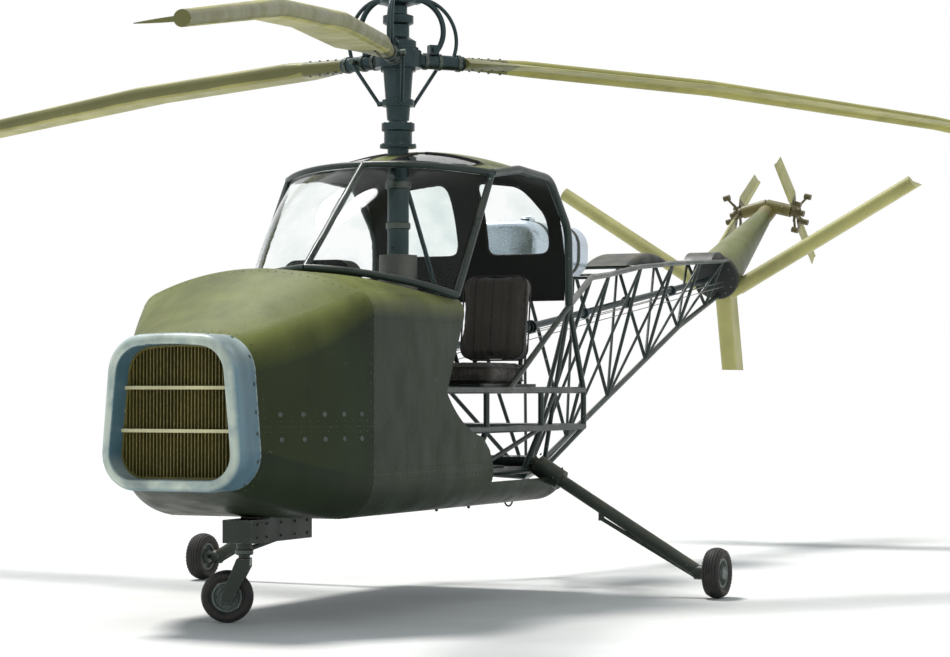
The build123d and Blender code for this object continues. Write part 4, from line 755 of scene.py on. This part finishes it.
def tail_rivet_rows():
    """Points and normals of the rivets on the tail cone and the fins."""
    rows = []
    cone = surface_of("tail_cone")
    for share, count in CONE_ROUNDS:
        middle = TAIL_RING + TAIL_AXIS * share
        for out in spokes(TAIL_AXIS, count):
            rows.append(meet(cone, middle + out * 0.5, -out))
    for name, side in SIDES.items():
        fin = surface_of(f"fin_{name}")
        for offset in FIN_ROW_OFFSETS:
            start = mirrored((0.25, 4.68 + offset, 2.6), side)
            end = mirrored((1.15, 4.865 + offset, 2.6), side)
            rows.append(hits_along(fin, start, end, DOWN, FIN_RIVET_PITCH))
    return rows


def rivet_skins():
    """Rows of rivets along the seams of the nose, belly, roof and tail."""
    for name, rows, slot, finish in (
        ("skin_rivets", skin_rivet_rows(), "skin", None),
        ("tail_rivets", tail_rivet_rows(), "blade", FIN_PAINT),
    ):
        mould = Mould()
        for row in rows:
            for point, normal in row:
                mould.dome(point, normal, RIVET_RADIUS, RIVET_HEIGHT)
        mould.done(name, slot, finish)


LOCK_PROFILE = [(0.011, -0.002), (0.011, 0.0015), (0.009, 0.003), (0.008, 0.0015), (0.001, 0.0015)]
LOCK_PITCH = 0.095
LOCK_OFFSET = 0.05
RING_SCREW_PITCH = 0.11
RING_MIDDLE_Z = 0.46


def fasten_cowl():
    """Turn-lock fasteners along the cowl's seams, and screws round the intake ring."""
    mould = Mould()
    for side in SIDES.values():
        for name, offset in (("nose_cowl_upper", LOCK_OFFSET), ("nose_cowl_lower", -LOCK_OFFSET)):
            skin = surface_of(name)
            start = Vector((side * BESIDE, COWL_FRONT + 0.08, COWL_SPLIT + offset))
            end = Vector((side * BESIDE, COWL_REAR - 0.07, COWL_SPLIT + offset))
            for point, normal in hits_along(skin, start, end, X_AXIS * -side, LOCK_PITCH):
                mould.turned(LOCK_PROFILE, point, normal, 20)
                mould.bolt(point + normal * 0.001, normal, 0.004, 0.002)
    ring = surface_of("intake_ring")
    for point, normal in hits_round(ring, COWL_FRONT - 0.02, RING_MIDDLE_Z, 0, 359, RING_SCREW_PITCH):
        mould.bolt(point, normal, 0.006, 0.003)
    mould.done("cowl_fasteners", "intake_ring", PAINTED_BOLT)


# columns: height on the mast's axis, reach, bolts, radius
MAST_BOLTS = [(0.762, 0.136, 14, 0.005), (1.6995, 0.078, 10, 0.0055), (1.8, 0.066, 8, 0.005)]
# columns: height of the middle, outer radius, half the height
MAST_COLLARS = [(1.3175, 0.058, 0.0175), (1.51, 0.061, 0.02)]
MAST_RADIUS = 0.0505
BULKHEAD_HALF = 0.0198
LEG_ROOT = Vector((0.45, 0.545, 0.205))
LEG_RUN = Vector((0.85, 0, -0.507))
LEG_BOLT_PLACES = (0.47, 0.60)


def bolt_airframe():
    """Bolts on the gearbox, the mast's collars, the bulkhead and the gear."""
    mould = Mould()
    for height, reach, count, radius in MAST_BOLTS:
        mould.bolt_circle(UP * height, UP, reach, count, radius)
    for height, rim, half in MAST_COLLARS:
        mould.collar(UP * height, UP, MAST_RADIUS, rim, half, 40, bevel=0.005)
    mould.bolt_circle(TAIL_RING - TAIL_AXIS * BULKHEAD_HALF, -TAIL_AXIS, 0.118, 12, 0.006)
    for side in SIDES.values():
        leg = mirrored(LEG_RUN, side).normalized()
        root = mirrored(LEG_ROOT, side)
        for x in LEG_BOLT_PLACES:
            mould.bolt_circle(root + leg * (x - LEG_ROOT.x), leg, 0.052, 8, 0.005)
    mould.done("frame_bolts", "mast", PAINTED_BOLT)


NOSE_BOX_FACE = 0.0701
NOSE_BOX_ROWS = (-0.065, -0.01)
NOSE_BOX_BOLTS = (-1.44, -1.36, -1.24, -1.12, -1.01)
STRUT_COLLAR = Vector((0, -1.43, -0.1255))


def fit_nose_gear():
    """Bolt heads along the nose leg's box, and a collar on its strut."""
    mould = Mould()
    for side in SIDES.values():
        for y in NOSE_BOX_BOLTS:
            for z in NOSE_BOX_ROWS:
                mould.bolt(Vector((side * NOSE_BOX_FACE, y, z)), X_AXIS * side, 0.006)
    mould.collar(STRUT_COLLAR, UP, 0.0335, 0.038, 0.0115, 32, bevel=0.004)
    mould.done("nose_gear_bolts", "gear", PAINTED_BOLT)


# Wheels

# columns: tyre node, body, radius, width
WHEELS = [
    ("main_tyre_port", "main_wheel_port", 0.118, 0.084),
    ("main_tyre_starboard", "main_wheel_starboard", 0.118, 0.084),
    ("nose_tyre", "nose_wheel", 0.110, 0.076),
]
RIM_SHARE = 0.58
SHOULDER_SHARE = 0.82
TREAD_GROOVES = (-0.62, -0.3, 0.0, 0.3, 0.62)
GROOVE_HALF = 0.045
GROOVE_DEPTH = 0.0032
STUDS = 36
# columns: share of the width, share of the rim's radius, bolts, radius
WHEEL_BOLTS = [(0.1805, 0.66, 6, 0.0042), (0.4505, 0.36, 5, 0.003)]


def tyre_profile(radius, width):
    """The tyre's section, all round: radius and place along the axle."""
    bead = radius * RIM_SHARE + 0.0008
    shoulder = radius * SHOULDER_SHARE
    half = width / 2
    crown = []
    for step in range(-40, 41):
        share = step / 40
        height = shoulder + (radius - shoulder) * (1 - share ** 2) ** 0.6
        if any(abs(share - groove) < GROOVE_HALF for groove in TREAD_GROOVES):
            height -= GROOVE_DEPTH
        crown.append((height - 0.0003, share * half * 0.995))
    wall = [
        (bead, 0.70), (bead + 0.004, 0.80), (bead + 0.007, 0.78),
        (shoulder * 0.86, 0.93), (shoulder * 0.9, 0.965), (shoulder * 0.93, 0.955),
    ]
    left = [(reach, -share * half) for reach, share in wall]
    right = [(reach, share * half) for reach, share in reversed(wall)]
    return left + crown + right


def make_tyres():
    """Ribbed tyres with studded shoulders in place of the plain ones, rim bolts and valves."""
    for node, body, radius, width in WHEELS:
        joint = next(entry for entry in frame["joints"] if entry["name"] == f"{body}_spin")
        centre = Vector(joint["pos_m"])
        axis = Vector(joint["axis"]).normalized()
        mould = Mould()
        mould.turned(tyre_profile(radius, width), centre, axis, 72, round_again=True)
        for out in spokes(axis, STUDS):
            for side in (-1, 1):
                spot = centre + out * radius * 0.885 + axis * side * width * 0.452
                mould.dome(spot, (axis * side + out * 0.7).normalized(), 0.0034, 0.0022, 6)
        piece = mould.done(f"{body}_tread", "tyre", body=body)
        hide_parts(node)

        mould = Mould()
        for side in (-1, 1):
            for place, reach, count, size in WHEEL_BOLTS:
                face = centre + axis * side * width * place
                mould.bolt_circle(face, axis * side, radius * RIM_SHARE * reach, count, size)
        first = across(axis)[0]
        stem = centre + first * radius * RIM_SHARE * 0.74 + axis * width * 0.16
        mould.tube([stem, stem + axis * 0.012, stem + axis * 0.022 + first * 0.002], 0.0026, 8)
        mould.done(f"{body}_bolts", "rim", PAINTED_BOLT, body)


# Rotors

CLAMP_REACHES = (0.135, 0.205, 0.305)
GRIP_RADIUS = 0.0352
CLAMP_RADIUS = 0.040
HORN_REACH = 0.232
HORN_AHEAD = 0.057
LUG_REACH = 0.178
LUG_LIFT = 0.057
LUG_FACE = 0.0205
ROOT_BOLT_REACHES = (0.37, 0.42, 0.47, 0.53)
ROOT_BOLT_PLACES = (-0.015, 0.025)
# columns: height on the mast's axis, reach, bolts, radius, first bolt's turn
HUB_BOLTS = [(1.91, 0.066, 9, 0.004, 0.0), (2.14, 0.103, 12, 0.005, 0.2), (2.42, 0.062, 6, 0.006, 0.0)]


def detail_main_rotor():
    """Clamp rings, blade root bolts, rod ends and hub bolts on the turning head."""
    blades = surface_of("main_blades")
    mould = Mould()
    for index in BLADES:
        outward, aft = blade_directions(index)
        for reach in CLAMP_REACHES:
            spot = blade_point(index, reach)
            mould.collar(spot, outward, GRIP_RADIUS, CLAMP_RADIUS, 0.009, 28)
            for side in (-1, 1):
                mould.bolt(spot + aft * CLAMP_RADIUS * side, aft * side, 0.005)
        horn_tip = blade_point(index, HORN_REACH) - aft * HORN_AHEAD
        mould.collar(horn_tip, aft, 0.0125, 0.0155, 0.014, 20, bevel=0.002)
        beside = Vector((-outward.y, outward.x, 0))
        for side in (-1, 1):
            lug = blade_point(index, LUG_REACH, LUG_LIFT) + beside * LUG_FACE * side
            mould.bolt(lug, beside * side, 0.008)
        for reach in ROOT_BOLT_REACHES:
            for place in ROOT_BOLT_PLACES:
                spot = blade_point(index, reach) + aft * place
                for away in (DOWN, UP):
                    for point, normal in meet(blades, spot + away * 0.2, -away):
                        mould.bolt(point, normal, 0.0055)
    for height, reach, count, radius, turn in HUB_BOLTS:
        mould.bolt_circle(UP * height, UP, reach, count, radius, turn)
    mould.done("rotor_bolts", "mast", PAINTED_BOLT, "main_rotor")


BLADE_RIVETS_START = 0.7
BLADE_RIVETS_END = 4.3
BLADE_RIVET_PITCH = 0.06
BLADE_RIVET_AFT = 0.052


def rivet_blades():
    """A row of small rivets along the top of each main blade."""
    blades = surface_of("main_blades")
    mould = Mould()
    for index in BLADES:
        behind = blade_directions(index)[1] * BLADE_RIVET_AFT
        reach = BLADE_RIVETS_START
        while reach < BLADE_RIVETS_END:
            for point, normal in meet(blades, blade_point(index, reach) + behind + UP * 0.2, DOWN):
                mould.dome(point, normal, 0.0036, 0.0014, 6)
            reach += BLADE_RIVET_PITCH
    mould.done("blade_rivets", "blade", body="main_rotor")


# Seats

PRESSURE = 4.0
VOXEL = 0.006
SEAT_STEPS = 18
SEAT_SWELL = 0.016
SEAT_INSET = 0.010
SEAT_MARGIN = 0.002
PIPING_RADIUS = 0.0042
PIPING_INSET = 0.012
SEAM_RADIUS = 0.0022
SEAM_SHARES = (-0.25, 0.0, 0.25)
SEAM_STEPS = 14
REST_WIDTH = 0.36
REST_HEIGHT = 0.43


def stuffed(name, node):
    """A cushion blown up by cloth simulation from its shrunken solid."""
    data = nodes[node].data.copy()
    data.name = name
    piece = bpy.data.objects.new(name, data)
    scene.collection.objects.link(piece)
    low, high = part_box(node)
    middle = (low + high) / 2
    shrink = [1 - 2 * SEAT_INSET / size for size in high - low]
    for vertex in data.vertices:
        for axis in range(3):
            vertex.co[axis] = middle[axis] + (vertex.co[axis] - middle[axis]) * shrink[axis]
    bpy.context.view_layer.objects.active = piece
    remesh = piece.modifiers.new("remesh", "REMESH")
    remesh.mode = "VOXEL"
    remesh.voxel_size = VOXEL * 1
    bake(piece)
    rest = [vertex.co.copy() for vertex in piece.data.vertices]
    cloth = piece.modifiers.new("cloth", "CLOTH")
    cloth.settings.use_pressure = True
    cloth.settings.uniform_pressure_force = PRESSURE
    cloth.settings.effector_weights.gravity = 0.0
    cloth.point_cache.frame_start = 1
    cloth.point_cache.frame_end = SEAT_STEPS
    for step in range(1, SEAT_STEPS + 1):
        scene.frame_set(step)
    bake(piece)
    scene.frame_set(1)
    for vertex, start in zip(piece.data.vertices, rest):
        move = vertex.co - start
        if move.length > SEAT_SWELL:
            vertex.co = start + move.normalized() * SEAT_SWELL
    for vertex in piece.data.vertices:
        for axis in range(3):
            inside = max(vertex.co[axis], low[axis] - SEAT_MARGIN)
            vertex.co[axis] = min(inside, high[axis] + SEAT_MARGIN)
    piece.data.shade_smooth()
    repaint(piece.data, MATERIALS["seat_cover"])
    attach(piece, "airframe")
    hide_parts(node)
    return piece


def bake(piece):
    """Applies a piece's modifiers to its mesh."""
    graph = bpy.context.evaluated_depsgraph_get()
    graph.update()
    result = bpy.data.meshes.new_from_object(piece.evaluated_get(graph))
    piece.modifiers.clear()
    piece.data = result


def rounded_path(width, depth, corner, steps=8):
    """A rounded rectangle of points about the middle, in two dimensions."""
    path = []
    for quarter, (x, y) in enumerate(((1, 1), (-1, 1), (-1, -1), (1, -1))):
        for step in range(steps + 1):
            turn = math.pi / 2 * (quarter + step / steps)
            first = x * (width / 2 - corner) + corner * math.cos(turn)
            path.append((first, y * (depth / 2 - corner) + corner * math.sin(turn)))
    return path


def pipe_seat(name, cushion, origin, rise, width, depth, corner, level):
    """Piping round a cushion's two faces and sewn channels, laid on its mesh."""
    tree = search_tree(cushion.data)
    toward = X_AXIS.cross(rise)
    mould = Mould()
    for lift in (level, -level):
        points = []
        for x, y in rounded_path(width, depth, corner):
            spot = origin + X_AXIS * x + rise * y + toward * lift
            point, normal = tree.find_nearest(spot)[:2]
            points.append(point + normal * PIPING_RADIUS * 0.35)
        mould.tube(points, PIPING_RADIUS, 8, closed=True)
    for share in SEAM_SHARES:
        points = []
        for step in range(-SEAM_STEPS, SEAM_STEPS + 1):
            along = step / SEAM_STEPS * depth * 0.43
            spot = origin + X_AXIS * share * width + rise * along + toward * 0.3
            point, normal = tree.ray_cast(spot, -toward)[:2]
            if point:
                points.append(point + normal * 0.0004)
        if len(points) > 2:
            mould.tube(points, SEAM_RADIUS, 6)
    mould.done(name, "seat_cover", MATERIALS["panel"])


def make_seats():
    """Two canvas seats with piping and sewn channels."""
    for label in SIDES:
        low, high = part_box(f"seat_cushion_{label}")
        size = high - low
        pipe_seat(
            f"seat_base_piping_{label}", stuffed(f"seat_base_{label}", f"seat_cushion_{label}"),
            (low + high) / 2, Y_AXIS, size.x - PIPING_INSET, size.y - PIPING_INSET, 0.045, size.z * 0.36,
        )
        low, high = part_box(f"seat_back_{label}")
        rise = Vector((0, math.sin(SEAT_LEAN), math.cos(SEAT_LEAN)))
        pipe_seat(
            f"seat_rest_piping_{label}", stuffed(f"seat_rest_{label}", f"seat_back_{label}"),
            (low + high) / 2, rise, REST_WIDTH - PIPING_INSET, REST_HEIGHT - PIPING_INSET, 0.06, 0.030,
        )


# Cockpit

PANEL_FACE_Y = -0.695
DIAL_DEPTH = 0.008
DIAL_RADIUS = 0.036
DIAL_PLACES = [(x, z) for z in (0.965, 1.055) for x in (-0.1, 0.0, 0.1)]
DIAL_FACE = [(DIAL_RADIUS * 0.985, 0.0002), (DIAL_RADIUS * 0.985, 0.0012), (0.002, 0.0016)]
DIAL_BEZEL = [
    (DIAL_RADIUS * 0.93, 0.001), (DIAL_RADIUS * 0.97, 0.0105),
    (DIAL_RADIUS * 1.10, 0.0105), (DIAL_RADIUS * 1.14, 0.0082),
]
NEEDLE_HUB = [(0.0035, 0.0), (0.003, 0.002), (0.0004, 0.0024)]
TICKS = 27
DIAL_BLACK = worn_paint("dial_black", (16, 17, 18), (60, 60, 60), 0.6, wear=0.2, dust=0.1)
DIAL_WHITE = worn_paint("dial_white", (226, 224, 208), (180, 176, 150), 0.6, wear=0.1, dust=0.0)


def pointing(turn):
    """The direction of a dial's mark or needle, from straight up."""
    return Vector((math.sin(turn), 0, math.cos(turn)))


def make_dials():
    """Dial faces with marks, needles and bezels, in the panel's recesses."""
    faces, marks, bezels = Mould(), Mould(), Mould()
    generator = random.Random(7)
    for x, z in DIAL_PLACES:
        recess = Vector((x, PANEL_FACE_Y - DIAL_DEPTH, z))
        faces.turned(DIAL_FACE, recess, Y_AXIS, 40)
        bezels.turned(DIAL_BEZEL, recess, Y_AXIS, 40, round_again=True)
        for tick in range(TICKS + 1):
            out = pointing(math.radians(-135 + 270 * tick / TICKS))
            length = 0.006 if tick % 3 == 0 else 0.0035
            start = recess + out * (DIAL_RADIUS * 0.88 - length) + Y_AXIS * 0.0018
            marks.tube([start, start + out * length], 0.0006, 4)
        out = pointing(math.radians(generator.uniform(-130, 60)))
        needle = recess + Y_AXIS * 0.003
        marks.tube([needle - out * 0.006, needle + out * 0.022], 0.0009, 6)
        marks.turned(NEEDLE_HUB, needle, Y_AXIS, 14)
    faces.done("dial_faces", "panel", DIAL_BLACK)
    marks.done("dial_marks", "panel", DIAL_WHITE)
    bezels.done("dial_bezels", "panel")


def waves(count, turn_count, height):
    """Steps from 0 to 1, each with the height of a wave there."""
    for step in range(count + 1):
        share = step / count
        yield share, height * math.cos(share * turn_count * 2 * math.pi)


GRIP_PROFILE = [
    (0.0165 + wave - 0.004 * max(0, share - 0.85) / 0.15, -0.115 + 0.117 * share)
    for share, wave in waves(24, 4, 0.0022)
] + [(0.001, 0.0032)]
BELLOWS = [(0.038 - 0.022 * share + wave, 0.11 * share) for share, wave in waves(30, 5, 0.004)]
LEVER_GRIP = [
    (0.0125, -0.12), (0.0160, -0.118), (0.0168, -0.06), (0.0160, -0.004),
    (0.0175, 0.0), (0.013, 0.006), (0.001, 0.008),
]
# places of the port side's controls, above the cabin's floor
STICK_BASE = Vector((SEAT_X, -0.33, 0.0305))
STICK_BEND = Vector((SEAT_X, -0.30, 0.36))
STICK_TOP = Vector((SEAT_X, -0.20, 0.52))
LEVER_LOW = Vector((0.142, -0.23, 0.0124))
LEVER_TOP = Vector((0.142, -0.33, 0.23))
PEDAL_FACE_Y = -0.8475
PEDAL_OFFSET = 0.08
PEDAL_LOW = 0.105
TREAD_PITCH = 0.018
TREAD_HALF = Vector((0.036, 0, 0))


def make_grips():
    """Rubber grips, bellows boots and pedal treads on the controls."""
    mould = Mould()
    lift = UP * FLOOR_TOP
    for side in SIDES.values():
        base, bend, top, lever_low, lever_top = (
            mirrored(place, side) + lift
            for place in (STICK_BASE, STICK_BEND, STICK_TOP, LEVER_LOW, LEVER_TOP)
        )
        mould.turned(GRIP_PROFILE, top, top - bend, 20)
        mould.turned(BELLOWS, base, bend - base, 28)
        mould.turned(LEVER_GRIP, lever_top, lever_top - lever_low, 20)
        for x in (SEAT_X - PEDAL_OFFSET, SEAT_X + PEDAL_OFFSET):
            for row in range(6):
                line = mirrored((x, PEDAL_FACE_Y, PEDAL_LOW + row * TREAD_PITCH), side) + lift
                mould.tube([line - TREAD_HALF, line + TREAD_HALF], 0.0028, 6)
    mould.done("control_grips", "dark_metal", BLACK_RUBBER)


# Seals, straps and lines

def rounded_polygon(corners, radius, steps=5):
    """A closed path with its corners rounded by short curves."""
    path = []
    count = len(corners)
    for index, corner in enumerate(corners):
        start = corner + (corners[index - 1] - corner).normalized() * radius
        end = corner + (corners[(index + 1) % count] - corner).normalized() * radius
        for step in range(steps + 1):
            share = step / steps
            rest = 1 - share
            path.append(start * rest ** 2 + corner * 2 * share * rest + end * share ** 2)
    filled = []
    for index, point in enumerate(path):
        after = path[(index + 1) % len(path)]
        pieces = max(1, round((after - point).length / 0.02))
        filled += [point + (after - point) * step / pieces for step in range(pieces)]
    return filled


# corners, as x and y for the front window and x and z for the rear one
FRONT_WINDOW = [(0.07, -0.235), (0.33, -0.165), (0.41, -0.06), (0.41, 0.09), (0.07, 0.09)]
REAR_WINDOW = [(0.08, 1.215), (0.43, 1.215), (0.44, 1.40), (0.33, 1.545), (0.08, 1.575)]
ABOVE_ROOF = 2.2
BEHIND_CANOPY = 1.8
SEAL_RADIUS = 0.0062
SCREW_OFFSET = 0.014


def seal_windows():
    """Rubber seals and a row of screws round the roof's windows."""
    seals, screws = Mould(), Mould()
    roof = surface_of("roof_panel", "roof_windows")
    canopy = surface_of("rear_canopy", "roof_windows")
    for side in SIDES.values():
        front = [Vector((side * x, y, ABOVE_ROOF)) for x, y in FRONT_WINDOW]
        rear = [Vector((side * x, BEHIND_CANOPY, z)) for x, z in REAR_WINDOW]
        for skin, corners, toward, corner in ((roof, front, DOWN, 0.035), (canopy, rear, -Y_AXIS, 0.055)):
            path = []
            for spot in rounded_polygon(corners, corner):
                path += meet(skin, spot, toward)
            seals.tube([point - normal * 0.001 for point, normal in path], SEAL_RADIUS, 8, closed=True)
            middle = sum((point for point, normal in path), Vector()) / len(path)
            for point, normal in path[::3]:
                out = (point - middle).normalized()
                spot, turned = skin.find_nearest(point + out * SCREW_OFFSET)[:2]
                screws.dome(spot, facing(turned, normal), 0.0038, 0.0016)
    seals.done("window_seals", "dark_metal", BLACK_RUBBER)
    screws.done("window_screws", "skin", PAINTED_BOLT)


FILLER_CAP = [(0.052, 0.0), (0.052, 0.006), (0.040, 0.010), (0.040, 0.026), (0.036, 0.030), (0.002, 0.031)]
TANK_CORNER = 0.11
STRAP_INSET = 0.16
STRAP_WIDTH = 0.032
STRAP_THICK = 0.0022
CAP_FROM_END = 0.32
CAP_BAR_HALF = Vector((0.022, 0, 0))


def strap_tank():
    """Two straps, a filler cap and a weld seam round the tank."""
    low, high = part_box("fuel_tank")
    middle = (low + high) / 2
    size = high - low

    def girth(y, gap):
        """A closed path round the tank's section, a little outside it."""
        outline = rounded_path(size.x + gap, size.z + gap, TANK_CORNER, 10)
        return [Vector((x, y, middle.z + z)) for x, z in outline]

    straps = Mould()
    for y in (low.y + STRAP_INSET, high.y - STRAP_INSET):
        straps.band(girth(y, 0.0006), STRAP_WIDTH, STRAP_THICK, Y_AXIS)
        straps.collar(Vector((0.06, y, high.z + 0.009)), X_AXIS, 0.006, 0.009, 0.02, 12, bevel=0.002)
    straps.done("tank_straps", "dark_metal")
    fittings = Mould()
    spot = Vector((0, low.y + CAP_FROM_END, high.z - 0.0005))
    bar = spot + UP * 0.036
    fittings.turned(FILLER_CAP, spot, UP, 36)
    fittings.bolt_circle(spot + UP * 0.006, UP, 0.046, 8, 0.0026)
    fittings.tube([bar - CAP_BAR_HALF, bar + CAP_BAR_HALF], 0.004, 10)
    fittings.tube(girth(middle.y, 0), 0.0024, 6, closed=True)
    fittings.done("tank_fittings", "tank")


SHAFT_RADIUS = 0.0182
COUPLING = [
    (SHAFT_RADIUS, -0.03), (0.027, -0.028), (0.027, -0.008), (0.036, -0.007),
    (0.036, 0.007), (0.027, 0.008), (0.027, 0.028), (SHAFT_RADIUS, 0.03),
]
COUPLING_SHARES = (0.04, 0.33, 0.65, 0.97)
BEARING_SHARES = (0.18, 0.5, 0.82)


def run_lines():
    """Control cables along the boom, and couplings and bearings on its shaft."""
    cables = Mould()
    for x in (-0.07, 0.07):
        for lift in (0.0, 0.03):
            start = Vector((x * 1.4, 0.17, 0.66 + lift))
            cables.tube([start, Vector((x, 4.462, 1.20 + lift))], 0.0024, 6)
    cables.done("control_cables", "mast", CABLE_STEEL)

    low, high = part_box("tail_drive_shaft")
    start = Vector((0, low.y, DRIVE_START_Z))
    end = Vector((0, high.y, DRIVE_END_Z))
    run = (end - start).normalized()
    mould = Mould()
    for share in COUPLING_SHARES:
        spot = start + (end - start) * share
        mould.turned(COUPLING, spot, run, 28)
        mould.bolt_circle(spot + run * 0.007, run, 0.0315, 6, 0.003)
    for share in BEARING_SHARES:
        mould.collar(start + (end - start) * share, run, SHAFT_RADIUS, 0.030, 0.012, 28)
    mould.done("shaft_couplings", "mast")


RING_PLACE = (0.30, 0.60)
RING_RADIUS = 0.022
# columns: x, y, length
DRAINS = ((0.04, 0.325, 0.045), (0.18, 0.39, 0.03), (-0.12, -0.62, 0.03))


def fit_belly():
    """Tie-down rings and drain pipes under the belly."""
    belly = surface_of("belly_skin")
    mould = Mould()
    for side in SIDES.values():
        spot = Vector((side * RING_PLACE[0], RING_PLACE[1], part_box("belly_skin")[0].z))
        hit = belly.ray_cast(spot + DOWN * 0.3, UP)[0] or spot
        loop = []
        for step in range(13):
            turn = math.pi * step / 12
            loop.append(hit + Vector((RING_RADIUS * math.cos(turn), 0, 0.004 - 0.034 * math.sin(turn))))
        mould.tube(loop, 0.0045, 8)
        mould.turned([(0.03, 0.0), (0.03, 0.004)], hit + DOWN * 0.004, UP, 16)
    for x, y, length in DRAINS:
        for hit, normal in meet(belly, Vector((x, y, -0.3)), UP):
            bend = hit + DOWN * length * 0.7
            mould.tube([hit + UP * 0.004, bend, hit + DOWN * length + Y_AXIS * 0.012], 0.008, 12)
    mould.done("belly_fittings", "gear")


def make_floor():
    """A pale floor that fades into the white backdrop."""
    bpy.ops.mesh.primitive_plane_add(size=2 * FLOOR_HALF, location=(0, 0, FLOOR_Z))
    floor = bpy.context.object
    floor.name = "floor"
    ground = Surface("floor_paint", roughness=0.8)
    grain = ground.mix(ground.noise(1.4, 8, 0.3, 0.7), linear(222, 220, 214), linear(236, 235, 231))
    far = ground.span(ground.vector("LENGTH", ground.place)["Value"], FADE_START, FADE_END)
    ground.set("Base Color", grain)
    glow = ground.node("ShaderNodeEmission", Color=(1, 1, 1, 1), Strength=1.0)
    blend = ground.node("ShaderNodeMixShader")
    ground.feed(blend.inputs[0], far)
    ground.feed(blend.inputs[1], ground.shader.outputs[0])
    ground.feed(blend.inputs[2], glow.outputs[0])
    ground.tree.links.new(blend.outputs[0], ground.tree.nodes["Material Output"].inputs["Surface"])
    floor.data.materials.append(ground.material)


def main():
    scene.view_settings.view_transform = "Standard"
    place_camera()
    make_world()
    add_sun()
    make_floor()
    dress_nodes()
    rivet_skins()
    fasten_cowl()
    bolt_airframe()
    fit_nose_gear()
    make_tyres()
    detail_main_rotor()
    rivet_blades()
    make_seats()
    make_dials()
    make_grips()
    seal_windows()
    strap_tank()
    run_lines()
    fit_belly()


main()
